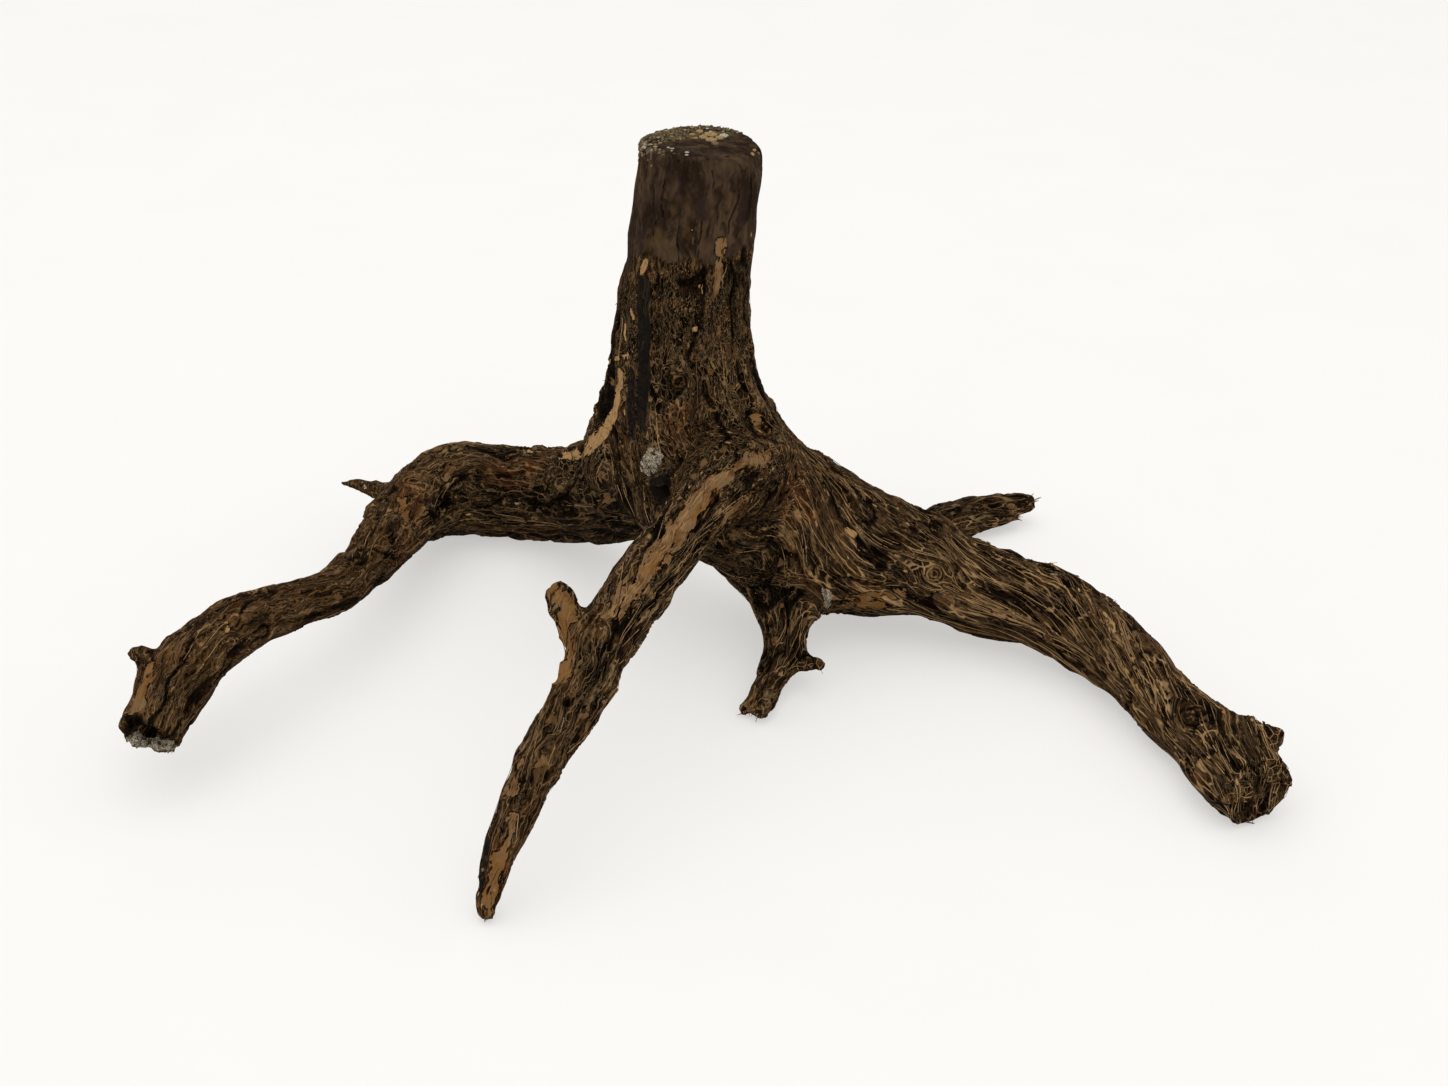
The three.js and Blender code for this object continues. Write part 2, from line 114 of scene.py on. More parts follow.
def heart_line(stations, first, wind, spacing=3.0):
    """Points every few millimetres along a limb's heart, as rows of place, radius, two directions
    across, direction along and distance along. The curve is the Catmull-Rom cubic through the
    stations, and the directions across are carried along it by the smallest turn, plus the winding."""
    s = np.array(stations, float)
    s[:, 0] += BOX_MIDDLE[0]
    s[:, 1] += BOX_MIDDLE[1]
    s = np.vstack([2 * s[0] - s[1], s, 2 * s[-1] - s[-2]])
    a, b, c, d = s[:-3, None], s[1:-2, None], s[2:-1, None], s[3:, None]
    t = np.linspace(0, 1, 16, endpoint=False)[None, :, None]
    square = 2 * a - 5 * b + 4 * c - d
    cube = 3 * b - a - 3 * c + d
    curve = 0.5 * (2 * b + (c - a) * t + square * t**2 + cube * t**3)
    curve = np.vstack([curve.reshape(-1, 4), s[-2:-1]])
    run = np.concatenate([[0], np.cumsum(np.linalg.norm(np.diff(curve[:, :3], axis=0), axis=1))])
    at = np.linspace(0, run[-1], int(run[-1] / spacing) + 2)
    line = np.stack([np.interp(at, run, curve[:, k]) for k in range(4)], axis=1)
    along = np.gradient(line[:, :3], axis=0)
    along /= np.linalg.norm(along, axis=1)[:, None]
    down = np.array([0.0, 0.0, -1.0])
    side = [turned(np.array([1.0, 0.0, 0.0]), down, along[0])]
    for before, after in zip(along[:-1], along[1:]):
        side.append(turned(side[-1], before, after))
    side = np.array(side)
    over = np.cross(along, side)
    angle = (at * wind)[:, None]
    first_across = side * np.cos(angle) + over * np.sin(angle)
    second_across = over * np.cos(angle) - side * np.sin(angle)
    return np.hstack([line, first_across, second_across, along, (at + first)[:, None]])


def grain_of(points, softness=1.6):
    """Where each point lies in the bundle of fibres: two distances across and one along, in
    millimetres, and the fibres' direction. Each heart point gives its own answer, and the answers
    are averaged with the weights exp(-(reach - least reach) / softness), where reach is the
    distance to the heart point less its radius, so the fibres of two limbs run into each other."""
    hearts = np.vstack([heart_line(*limb) for limb in LIMBS])
    out = np.zeros((len(points), 6))
    for part in np.array_split(np.arange(len(points)), 40):
        offset = points[part, None, :] - hearts[None, :, :3]
        reach = np.linalg.norm(offset, axis=2) - hearts[:, 3]
        weight = np.exp((reach.min(axis=1)[:, None] - reach) / softness)
        weight /= weight.sum(axis=1)[:, None]
        for k, column in enumerate((4, 7, 10)):
            value = np.einsum("pqk,qk->pq", offset, hearts[:, column:column + 3])
            if k == 2:
                value = value + hearts[:, 13]
            out[part, k] = (weight * value).sum(axis=1)
        out[part, 3:] = weight @ hearts[:, 10:13]
    out[:, 3:] /= np.linalg.norm(out[:, 3:], axis=1)[:, None] + 1e-9
    return out[:, :3], out[:, 3:]


# Large whole numbers that mix up a lattice corner's coordinates, and the most that a mix can be.
AXIS_MIX = np.array([73856093, 19349663, 83492791])
SEED_MIX = 2654435
LAST_MIX = 1274126177
MOST = 65535


def rumple(points, seed, octaves=2):
    """Smooth noise of about -1 to 1. Each corner of a unit lattice has a number made by mixing up
    its three whole coordinates, the eight numbers round a point are blended with the weights
    3t^2 - 2t^3, and each further octave adds half as much at twice the fineness."""
    total = np.zeros(len(points))
    for octave in range(octaves):
        p = points * 2.0**octave + 17.3 * octave
        cell = np.floor(p).astype(np.int64)
        t = p - cell
        t = t * t * (3 - 2 * t)
        value = np.zeros(len(points))
        for corner in range(8):
            step = np.array([corner & 1, corner >> 1 & 1, corner >> 2 & 1])
            key = ((cell + step) * AXIS_MIX).sum(axis=1) + (seed + octave) * SEED_MIX
            key = (key ^ (key >> 13)) * LAST_MIX
            key = (key ^ (key >> 16)) & MOST
            value += np.prod(np.where(step, t, 1 - t), axis=1) * (key / (MOST / 2) - 1)
        total += value * 0.5**octave
    return total


def reach_of(points, path):
    """The distance in millimetres from each point to a path of straight stretches."""
    path = np.array(path, float)
    if len(path) == 1:
        return np.linalg.norm(points - path[0], axis=1)
    best = np.full(len(points), 1e9)
    for a, b in zip(path[:-1], path[1:]):
        t = np.clip((points - a) @ (b - a) / ((b - a) @ (b - a)), 0, 1)
        best = np.minimum(best, np.linalg.norm(points - a - t[:, None] * (b - a), axis=1))
    return best


def ramp_up(x, low, high):
    """0 below low, 1 above high, and 3t^2 - 2t^3 between."""
    t = np.clip((x - low) / (high - low), 0, 1)
    return t * t * (3 - 2 * t)


def ramp_down(x, low, high):
    """1 below low, 0 above high, and as smooth between."""
    return ramp_up(-x, -high, -low)


def fine_copy(node, name, cell):
    """A finer skin of a frame solid: its merged copy, rounded by one Catmull-Clark subdivision
    and cut by a voxel remesh into even cells. The frame's own mesh isn't touched."""
    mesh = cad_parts[node].data.copy()
    work = bmesh.new()
    work.from_mesh(mesh)
    bmesh.ops.remove_doubles(work, verts=work.verts, dist=1e-6)
    work.to_mesh(mesh)
    work.free()
    made = bpy.data.objects.new(name, mesh)
    bpy.context.scene.collection.objects.link(made)
    rounded = made.modifiers.new("rounded", "SUBSURF")
    rounded.levels = 1
    rounded.render_levels = 1
    cells = made.modifiers.new("cells", "REMESH")
    cells.mode = "VOXEL"
    cells.voxel_size = cell * MM
    bpy.context.view_layer.update()
    ready = made.evaluated_get(bpy.context.evaluated_depsgraph_get())
    fine = bpy.data.meshes.new_from_object(ready)
    made.modifiers.clear()
    made.data = fine
    made.data.materials.clear()
    return made


def places(mesh):
    """The mesh's points as rows of millimetres."""
    co = np.empty(len(mesh.vertices) * 3)
    mesh.vertices.foreach_get("co", co)
    return co.reshape(-1, 3) / MM


def facing(mesh):
    """The outward direction at each point of the mesh."""
    out = np.empty(len(mesh.vertices) * 3)
    mesh.vertex_normals.foreach_get("vector", out)
    return out.reshape(-1, 3)


def put_places(mesh, points):
    """Sets the mesh's points from rows of millimetres."""
    mesh.vertices.foreach_set("co", (points * MM).ravel())
    mesh.update()


def relaxed(points, edges, rounds, pull=0.5):
    """Each round moves every point part of the way to the mean of its neighbours."""
    count = np.bincount(edges.ravel(), minlength=len(points))[:, None]
    for _ in range(rounds):
        mean = np.stack([
            np.bincount(edges[:, 0], points[edges[:, 1], k], len(points))
            + np.bincount(edges[:, 1], points[edges[:, 0], k], len(points))
            for k in range(points.shape[1])
        ], axis=1) / count
        points = points + pull * (mean - points)
    return points


# Bare tan wood where the bark has come off, as paths in millimetres and half widths: the clean
# strips down the trunk's left side, then the frayed patches.
STRIPS = [
    ([(-21.1, 16.2, 82.6), (-21.1, 16, 78.8), (-21.9, 17.1, 75.6)], 0.75),
    ([(-21.9, 17.1, 75.6), (-22.8, 18.5, 72.4), (-23.5, 19.8, 69), (-25, 23.1, 64.9),
      (-27.5, 27.1, 59.6)], 1.7),
    ([(-27.5, 27.1, 59.6), (-29.6, 31, 55.8), (-31.5, 40, 50), (-34.3, 54, 42.6), (-37.2, 65, 37.2),
      (-41.1, 67.2, 34.9)], 1.6),
    ([(-29.6, 31, 55.8), (-31.2, 36, 51.5), (-32.6, 46, 45), (-34.4, 56, 39.6), (-38, 66, 36)], 1.8),
    ([(-47, 83, 29), (-52.1, 84.9, 28.3)], 0.9),
    ([(-19.6, 15.6, 95.4), (-19.9, 15.6, 93.3), (-19.3, 14.3, 91.6)], 0.5),
    ([(-17.2, 11.5, 93.3), (-17.8, 11.7, 90), (-19.1, 13.6, 87.9), (-22.2, 18.2, 85.4)], 0.4),
    ([(-17.6, 14.1, 100.3), (-17.4, 13.2, 98.6)], 0.4),
    ([(-13.9, 11.8, 113.5), (-14.3, 12.1, 112.1), (-14.9, 12.4, 111)], 0.7),
    ([(-0.3, 7.2, 109.3), (0.9, 7.6, 107.3), (2.2, 8.2, 105.8)], 0.38),
]
PEELED = [
    ([(5.1, 10, 118.8), (4.9, 9.9, 115), (4.6, 9.8, 111.2), (4.1, 9.6, 107.4), (3.8, 9.5, 105.3)], 1.0),
    ([(16.7, 1.9, 65.5), (13, -2.5, 66.6), (10.1, -6.1, 66.8), (6.5, -9.5, 66.6), (3.6, -12.1, 65.9)], 1.9),
    ([(-40, -84.5, 30.9), (-41, -87, 28.6), (-42.1, -88.9, 26.4)], 0.8),
    ([(-41.2, -92.9, 22.5), (-42, -95.2, 19.6), (-42.7, -96.4, 17)], 0.8),
    ([(-31.9, -52.4, 48.2), (-32.1, -53.5, 44.8), (-32, -60, 42.6), (-31.6, -66, 42)], 1.8),
    ([(-30.9, -56.5, 45.6), (-30.2, -61.5, 44.8), (-30.5, -66.5, 43.4)], 1.3),
    ([(3.6, -12.1, 65.9), (-0.3, -15.9, 64.5), (-4.1, -24, 61), (-9.7, -33, 57), (-15.6, -42.6, 53.4),
      (-20.1, -50, 50.3)], 2.7),
    ([(10.8, -11.5, 60.1), (7.1, -15.8, 58.2), (5.1, -18.3, 55.3)], 1.5),
    ([(-43.8, -98.3, 14.6), (-45, -100.1, 9.6), (-46.1, -102.1, 5.7)], 1.9),
    ([(-34.7, -45.4, 53.6), (-32.8, -46.8, 52.7), (-29.8, -51, 50)], 2.3),
    ([(36.6, 17.4, 11.4), (42.5, 16.3, 13.3), (48.9, 16.2, 14)], 1.8),
    ([(-134.2, -40, 29.2), (-134.5, -43.5, 28), (-134.9, -47, 26.5), (-135, -50.5, 25)], 2.4),
    ([(39.6, 15.4, 16.3), (45, 15.4, 16.9), (54.4, 15.9, 18.6)], 1.0),
    ([(-76, 71.3, 25.5), (-75, 76, 25.9)], 1.4), ([(-28.9, 39.5, 33.6), (-25.6, 33.4, 39)], 1.0),
    ([(-84.4, 50, 29), (-83.7, 43.9, 27.4)], 2.0),
    ([(84.8, 87.5, 8.5), (92.7, 88.8, 6.1)], 1.0),
    ([(15.3, 9.6, 72.2)], 1.5),
    ([(13.6, -17, 5.1), (12.4, -18.6, 3.4)], 1.6),
    ([(52, 34, 34), (58, 33, 31), (66, 31, 28)], 0.9),
    ([(-60, 98, 25), (-72, 99, 25)], 2.2),
    ([(-6, 41, 100), (-6.5, 41, 84), (-4, 40, 71)], 1.9),
    ([(20, 46, 30), (32, 53, 22)], 2.2),
]
# Small pale chips on the bark.
FLECKS = [
    ([(-1.3, 7.5, 125.4)], 0.5), ([(-2.1, 7.6, 123)], 0.55), ([(-2, 7.5, 120.4)], 0.65),
    ([(90.4, 16.7, 25.4)], 0.7),
    ([(82.9, 21.5, 26.8)], 0.7), ([(86.6, 18.9, 26.1)], 0.5), ([(101.5, 0, 21.5)], 0.6),
    ([(54.6, 23, 33.6)], 0.6),
    ([(-117.4, -26.4, 31.3), (-118.1, -23.9, 32.3)], 0.5), ([(-1.6, 7.3, 97.7)], 0.5),
    ([(5.9, 11, 92.2)], 0.4),
    ([(83.3, 20.9, 26.5)], 0.75), ([(89.7, 19.4, 25.8)], 0.7),
    ([(38.6, 17.5, 36.5), (40.2, 17.2, 35.6)], 0.75),
    ([(54.1, 15.4, 24.9)], 0.6), ([(-20, 41, 34), (-18.6, 39, 33)], 0.8), ([(-24, 44, 28)], 0.7),
    ([(4.6, 6, 84)], 0.5),
    ([(20.4, 11, 58)], 0.5), ([(70, 20, 30)], 0.8), ([(104, -2, 20), (105, -4, 20)], 0.7),
    ([(60, 20, 32)], 0.6),
    ([(-4.9, 5.5, 96)], 0.5), ([(-12, 7, 66.8)], 0.6), ([(-8.4, 6, 72)], 0.6), ([(-119, -18, 32)], 0.6),
    ([(30, 62, 20)], 0.9),
    ([(-30, 98, 30)], 0.9), ([(4, 41, 110)], 0.8), ([(-8, 41, 118)], 0.7), ([(-60, 100, 20)], 0.8),
]
# The smooth black gutter down the trunk's left side, then painted shade: black round the holes
# and in the crook under the left root, and a dark strip by the front root's tip.
GUTTER_AND_SHADE = [
    ([(-14.6, 11.9, 108), (-14.8, 11, 101.5), (-14.9, 10.2, 96.6), (-14.8, 9.3, 91.5),
      (-14.9, 8.7, 86.4), (-15.4, 9, 78), (-15.6, 9.6, 71)], 2.2),
    ([(-17.8, 11.9, 84), (-18.6, 12.9, 77), (-18.2, 12.9, 71), (-17.8, 13, 66)], 1.7),
    ([(-30, 44, 34), (-42, 62, 24)], 3.0),
    ([(-47.3, -94.6, 17), (-48, -98.2, 12.2), (-48.8, -101.4, 7.6)], 1.5),
    ([(-9.4, 3, 58.4), (-8.8, 5.5, 53.8), (-11, 8.2, 50.1)], 1.9),
    ([(-10.5, 5.6, 56.5), (-11.6, 6.8, 52.5)], 3.0),
    ([(15.6, 9.4, 69)], 1.3),
    ([(119.4, -41.6, 15.8)], 1.2),
    ([(123, -47, 16.5), (127, -50, 15)], 1.4),
]
# Rust-brown and golden stains, in the bark and on the bare wood.
STAINS = [
    ([(-60.6, 78.6, 24.6), (-52, 76, 27)], 5.5),
    ([(-84.4, 50, 29), (-86, 60, 29)], 5.0),
    ([(-2.6, 7.9, 128.4), (-2.4, 7.7, 124.7), (-2.9, 7.7, 121.4)], 1.0),
    ([(-15.5, 17.6, 125.1), (-15, 15.6, 123.3)], 2.0),
    ([(-83.7, 27.5, 22), (-83.4, 34.6, 24.4), (-83, 45.2, 26.8), (-81.3, 57.1, 27.1)], 3.6),
    ([(-9.3, 6, 76.6), (-10.5, 6.4, 78.1)], 2.2), ([(5.9, 11, 92.2)], 2.4),
    ([(22, 14, 52), (30, 12, 44)], 7.0),
    ([(44, 15.5, 18)], 6.0),
    ([(-6, 6, 74), (0, 5.2, 66)], 5.0), ([(15.3, 9.6, 72.2)], 2.2),
    ([(-118, -20, 30)], 5.0), ([(-134.2, -40, 29.2), (-135, -49, 25.6)], 3.6),
    ([(-43.8, -98.3, 14.6), (-46, -102, 6)], 4.4), ([(-34.7, -45.4, 53.6), (-31, -49, 51)], 3.6),
    ([(-31.4, -52.4, 48.2), (-31, -60, 44), (-30.6, -68, 42.6)], 4.2),
    ([(10, -5, 66), (-3, -24, 60), (-14, -41, 54)], 1.2),
]
# Grey and white crusts of lichen, on the knot, in the fork of the small root and at the left end.
CRUSTS = [
    ([(-12.1, 5, 63.8), (-13, 6.2, 60.6)], 2.9),
    ([(33, 14, 19.6), (33.6, 14, 15.8)], 1.2),
    ([(-136.2, -51.6, 15.1), (-134, -50.9, 12.9), (-131.3, -50.6, 12.7), (-127.6, -53, 14.6)], 2.4),
    ([(93.9, 14.7, 24.7)], 0.9),
    ([(-97.6, 65.4, 27.2), (-100.4, 67, 26.4)], 0.8),
    ([(28.6, 13.4, 14.6), (30.4, 13.6, 13.6)], 1.0),
    ([(-100, 69.3, 24.9), (-98.8, 68.5, 23.6)], 0.8), ([(-33.6, -50.8, 48), (-33, -54, 45.4)], 0.5),
]
# The broken end of the left root: a point on the break, the way it faces and its spread.
BREAKS = [((-132.0, -53.7, 16.2), (-0.14, -0.87, -0.46), 13.0)]
# Knots, which the fibres bend round: centre and radius.
KNOTS = [
    ((-12.8, 6.1, 61.2), 5.4), ((15.3, 9.6, 70.9), 4.4), ((120.5, -42, 16.9), 4.6), ((-84, 62, 27), 3.2),
    ((-58, 86, 28), 3.4), ((62, 16, 24), 3.0), ((30, 13, 48), 3.2), ((-6, 5.5, 84), 3.0),
    ((2.2, 5.6, 74), 2.6),
    ((-30, -46, 46), 3.4), ((92, 14, 20), 2.6), ((10, 26, 132), 2.4), ((-20, 60, 90), 4.0),
    ((30, 60, 36), 4.0),
]
# The knots with rings of bark round them.
RINGED_KNOTS = slice(1, 10)
# Holes left by dead side roots: centre, radius and depth.
HOLES = [
    ((-10.6, 6.2, 54.6), 4.0, 2.6), ((16.4, 8.6, 69.4), 1.9, 1.7), ((120.9, -43.4, 15.8), 1.3, 0.9),
    ((124.6, -45.6, 16.6), 1.7, 1.1), ((-58, 86, 28), 1.6, 0.9), ((-29.5, -45.4, 47), 1.4, 0.8),
    ((31, 12, 47), 1.5, 0.8),
    ((-29.7, -73.7, 40.5), 1.9, 1.1), ((-6.2, 5.2, 83.6), 1.2, 0.7), ((-20, 60, 90), 2.0, 1.4),
    ((10, 41, 62), 2.2, 1.3), ((-72, 98, 22), 2.0, 1.2),
]


def band_of(points, marks, frayed, seed):
    """How far inside the nearest mark each point lies, in millimetres and negative outside: the
    half width less the distance to its path, with an edge frayed by noise."""
    inside = np.full(len(points), -FAR)
    for path, half in marks:
        inside = np.maximum(inside, half - reach_of(points, path))
    return np.clip(inside + frayed * rumple(points / 3.4, seed, 3), -FAR, FAR)


def near_to(points, path, width):
    """How near each point lies to a path: exp(-(distance / width)^2)."""
    return np.exp(-(reach_of(points, path) / width) ** 2)


RELAX_ROUNDS = 4
body = fine_copy("driftwood", "driftwood_body", CELL)
skin = body.data
corners = np.empty(len(skin.edges) * 2, dtype=np.int32)
skin.edges.foreach_get("vertices", corners)
corners = corners.reshape(-1, 2)
bare_form = relaxed(places(skin), corners, RELAX_ROUNDS)
put_places(skin, bare_form)
out = facing(skin)
grain, fibres = grain_of(bare_form)

# The fibres part round each knot as water parts round a post.
for centre, radius in KNOTS:
    away = reach_of(bare_form, [centre])
    nearest = np.argmin(away)
    bend = radius**2 / (away**2 + 0.35 * radius**2)
    bend *= ramp_down(away, 1.5 * radius, 4.2 * radius)
    grain[:, :2] = grain[nearest, :2] + (grain[:, :2] - grain[nearest, :2]) * (1 - bend)[:, None]

high = bare_form[:, 2]

# The sawn top of the trunk is made rounder than the frame's coarse faces leave it: the rim's
# radius as a sum of waves round the trunk is traded for the same sum with its short waves left out.
TRUNK_TOP = (-0.2, 23.9)
spoke = bare_form[:, :2] - np.array(TRUNK_TOP)
bearing = np.arctan2(spoke[:, 1], spoke[:, 0])
rim_band = (high > 133.5) & (high < 138.6)


def waves_round(angle, count):
    """A constant, then the cosine and sine of each whole number of turns up to count."""
    turned_angle = angle[:, None] * np.arange(1, count + 1)
    return np.hstack([np.ones((len(angle), 1)), np.cos(turned_angle), np.sin(turned_angle)])


rim_radius = np.linalg.norm(spoke[rim_band], axis=1)


def rim_fit(count):
    """The rim's radius along each point's bearing, as the sum of so many waves that fits it best."""
    known = waves_round(bearing[rim_band], count)
    return waves_round(bearing, count) @ np.linalg.lstsq(known, rim_radius, rcond=None)[0]


ALL_WAVES = 9
LONG_WAVES = 3
grow = 1 + (rim_fit(LONG_WAVES) / rim_fit(ALL_WAVES) - 1) * ramp_up(high, 124, 134)
grow += 0.03 * ramp_up(high, 136.5, 139.6) * ramp_up(np.linalg.norm(spoke, axis=1), 9, 13)
bare_form[:, :2] = np.array(TRUNK_TOP) + spoke * np.where(high > 120, grow, 1)[:, None]
bare_form[:, 0] += 1.1 * ramp_up(high, 122, 138) * ramp_up(spoke[:, 0], 2, 12)
bare_form[:, 2] += 0.32 * ramp_up(high, 134, 139)
stub = ramp_down(reach_of(bare_form, [(-34, -44.5, 53)]), 3.5, 6.5)
bare_form[:, 2] += 1.2 * stub * ramp_up(high, 49, 54)
put_places(skin, bare_form)
out = facing(skin)

# Where each look lies on the skin. Stripped is the smooth wood over the bark's ragged upper border,
# and the fibres curl on the crown, stay calm on the left root and run straight lined on the right one.
stripped = np.clip((high - 113 + 7 * rumple(bare_form * (0.09, 0.09, 0.04), 5, 3)) / 3, -4, 4)
crown = ramp_down(np.linalg.norm((bare_form - (2, 14, 64)) / (26, 30, 26), axis=1), 0.6, 1.25)
curl = np.clip(crown + ramp_up(high, 62, 74) * ramp_down(high, 108, 122) * 0.9, 0, 1)
bare = band_of(bare_form, PEELED, 1.15, 11)
clean = np.maximum(2.4 * band_of(bare_form, STRIPS, 0.25, 17), 2.8 * band_of(bare_form, FLECKS, 0.3, 18))
bare = np.maximum(bare, clean)
gutter_and_shade = band_of(bare_form, GUTTER_AND_SHADE, 0.5, 12)
stain = band_of(bare_form, STAINS, 2.4, 13)
crust = band_of(bare_form, CRUSTS, 0.7, 14)
sawn = np.clip(high - 139.2 + 0.35 * rumple(bare_form / 1.5, 15, 1), -4, 4) * ramp_up(out[:, 2], 0.45, 0.8)
calm = ramp_down(bare_form[:, 0], -92, -78) * ramp_up(high, 8, 12)
front_low = ramp_down(bare_form[:, 1], -60, -46) * ramp_down(bare_form[:, 0], -28, -18)
front_low *= ramp_up(bare_form[:, 0], -80, -70)
calm = np.maximum(calm, 0.4 * front_low)
# Painted shade: near black in the crook under the left root, beside the small root and along the back root,
# and a plain darkening over the front root's far part.
shade_and_darkening = 0.34 * front_low
for path, width, strength in (
    ([(-62, 74, 18), (-45, 60, 22), (-29, 42, 30), (-18, 24, 44), (-12, 14, 52)], 9.0, 1.0),
    ([(14, 24, 40), (20, 22, 30), (17, 14, 24)], 7.0, 0.8),
    ([(42, 60, 13), (70, 84, 9), (96, 91, 8)], 9.0, 0.75),
):
    shade_and_darkening = np.maximum(shade_and_darkening, strength * near_to(bare_form, path, width))
olive = band_of(bare_form, [([(-13, 24, 140), (-7, 29, 140), (0, 33, 140), (6, 35.5, 140)], 4.6)], 1.6, 19)
pepper = ramp_up(high, 84, 97)
lined = 0.45 + 0.55 * ramp_up(bare_form[:, 0], 12, 34) - 0.3 * calm
rotten_heart = [(-134.4, -54.8, 22.2), (-131.6, -56.4, 20.6), (-130, -46, 21), (-128.6, -35, 24)]
hollow = 2.7 - reach_of(bare_form, rotten_heart)
holes = np.full(len(bare_form), -FAR)
sunk = np.zeros(len(bare_form))
for centre, radius, depth in HOLES:
    away = reach_of(bare_form, [centre])
    holes = np.maximum(holes, 0.62 * radius - away)
    sunk += depth * np.exp(-((away / (0.62 * radius)) ** 4))
    sunk -= 0.35 * depth * np.exp(-(((away / radius) - 1.05) / 0.25) ** 2)
hollow = np.maximum(hollow, holes)
ringed = np.full(len(bare_form), 4.0)
for centre, radius in KNOTS[RINGED_KNOTS]:
    ringed = np.minimum(ringed, reach_of(bare_form, [centre]) / radius)
broken = np.full(len(bare_form), -FAR)
for centre, way, spread in BREAKS:
    way = np.array(way) / np.linalg.norm(way)
    past = (bare_form - np.array(centre)) @ way
    near = spread - reach_of(bare_form, [centre])
    broken = np.maximum(broken, np.minimum(np.minimum(past + 1.6, near), (out @ way - 0.35) * 5))
broken = np.clip(broken + 0.6 * rumple(bare_form / 1.8, 16, 2), -FAR, FAR)


def drawn_out(width, length, seed, octaves, bend=0.0, bend_size=1.0, bend_seed=0):
    """Noise whose cells are so wide across the grain and so long along it, in millimetres. Where
    bend is given, the place in the grain is first moved by bend x noise of the size bend_size."""
    at = grain * (1 / width, 1 / width, 1 / length)
    if bend:
        at = at + rumple(bare_form / bend_size, bend_seed)[:, None] * bend
    return rumple(at, seed, octaves)


# Relief in millimetres. Where bark covers the wood, it has long folds between strands, finer ones
# between them and short pits where it is granular. Where it has peeled off, the skin steps down.
long_folds = 1 - np.abs(drawn_out(3.6, 30, 22, 1, 0.35, 8, 21)) * 2.2
fine_folds = 1 - np.abs(rumple(grain * (1 / 2.1, 1 / 2.1, 1 / 13) + 9.1, 23, 1)) * 2.2
pits = rumple(grain * (1 / 2.3, 1 / 2.3, 1 / 5.5) + 3.3, 24, 2)
covered = (1 - ramp_up(bare, -0.5, 0.6)) * (1 - ramp_up(gutter_and_shade, -0.4, 1.0) * 0.8)
covered *= 1 - 0.72 * ramp_up(stripped, -0.5, 0.8)
covered *= 1 - ramp_up(sawn, -0.2, 0.6)
relief = 0.42 * long_folds * (1 - 0.65 * curl) + 0.24 * fine_folds + (0.1 + 0.34 * curl) * pits
relief = covered * relief - 0.35 * (1 - covered)
relief += 0.5 * rumple(bare_form / 6.5, 25, 2) * (0.35 + 0.65 * covered)
relief += 0.55 * ramp_up(crust, -0.3, 0.8) * (0.6 + 0.5 * rumple(bare_form / 1.3, 26, 1))

# A raised edge beside the side stub, the sunken gutter and black places by the holes, the sawn face, then
# gaps and plates in the bark.
flange = reach_of(bare_form, [(-33, -50, 48.4), (-32.4, -53.5, 45), (-32, -60, 42.8), (-31.6, -66, 42)])
relief += 1.1 * np.exp(-((flange / 1.5) ** 2)) * (0.7 + 0.6 * rumple(bare_form / 1.6, 28, 1))
relief -= 0.9 * ramp_up(gutter_and_shade, 0.0, 2.0)
relief += 0.35 * ramp_up(sawn, 0.0, 0.8)
gaps = drawn_out(3.4, 11, 41, 2, 0.4, 6, 42)
gaps = ramp_up(gaps, 0.38, 0.6) * covered * (1 - 0.6 * calm) * (1 - 0.7 * pepper) * (1.2 - 0.7 * lined)
relief -= 0.85 * gaps
plates = drawn_out(4.6, 14, 43, 3, 0.4, 7, 44)
plates = ramp_up(plates, 0.22, 0.34) * covered * (1 - gaps)
relief += 0.36 * plates

# The grey knob, the rotten heart, the split wood of the broken end, the holes with their rims, the
# rings round the knots, the bark's lip over the clean strip, and the long creases.
knob = np.linalg.norm((bare_form - (-12.2, 4.8, 62.4)) / (3.0, 3.0, 3.5), axis=1)
relief += 1.3 * np.exp(-(knob**4))
relief -= 1.4 * ramp_up(hollow, -0.4, 1.6)
splits = drawn_out(1.7, 16, 27, 2)
relief += ramp_up(broken, -0.3, 0.8) * (splits - 0.4)
relief -= sunk
relief += 0.32 * covered * np.sin(ringed * 13) * ramp_down(ringed, 0.6, 1.05)
LIP = [(-19.5, 17, 108), (-21.5, 17.5, 96), (-23.5, 20, 86), (-25.5, 24, 77), (-29.5, 31, 64)]
lip = reach_of(bare_form, LIP)
relief += 1.3 * ramp_down(lip, 0.4, 2.0) * ramp_up(rumple(bare_form / 3.5, 31, 2), -0.9, 0.5)
creases = np.abs(drawn_out(5.2, 44, 34, 1, 0.5, 11, 33)) + 0.2 * front_low
relief -= 0.75 * covered * ramp_down(creases, 0.02, 0.11)
relief -= 0.15
# Painted shade: the faces that look down are darkened.
underside_shade = ramp_down(out[:, 2], -0.85, -0.1)
low, top = np.array(cad_box[0]) / MM, np.array(cad_box[1]) / MM
shaped = bare_form + out * relief[:, None]
shaped = np.clip(shaped, low + EDGE_ROOM, top - EDGE_ROOM)
put_places(skin, shaped)

for name, values in (
    ("bare", bare), ("gutter_and_shade", gutter_and_shade), ("stain", stain), ("crust", crust), ("sawn", sawn),
    ("broken", broken), ("stripped", stripped), ("curl", curl), ("relief", relief), ("creases", creases),
    ("underside_shade", underside_shade), ("calm", calm), ("lined", lined), ("hollow", hollow), ("ringed", ringed), ("gaps", gaps),
    ("plates", plates), ("shade_and_darkening", shade_and_darkening), ("olive", olive), ("pepper", pepper), ("clean", clean),
):
    skin.attributes.new(name, "FLOAT", "POINT").data.foreach_set("value", values.astype(np.float32))
grain_mark = skin.attributes.new("grain", "FLOAT_VECTOR", "POINT")
grain_mark.data.foreach_set("vector", grain.astype(np.float32).ravel())
skin.polygons.foreach_set("use_smooth", np.ones(len(skin.polygons), dtype=bool))


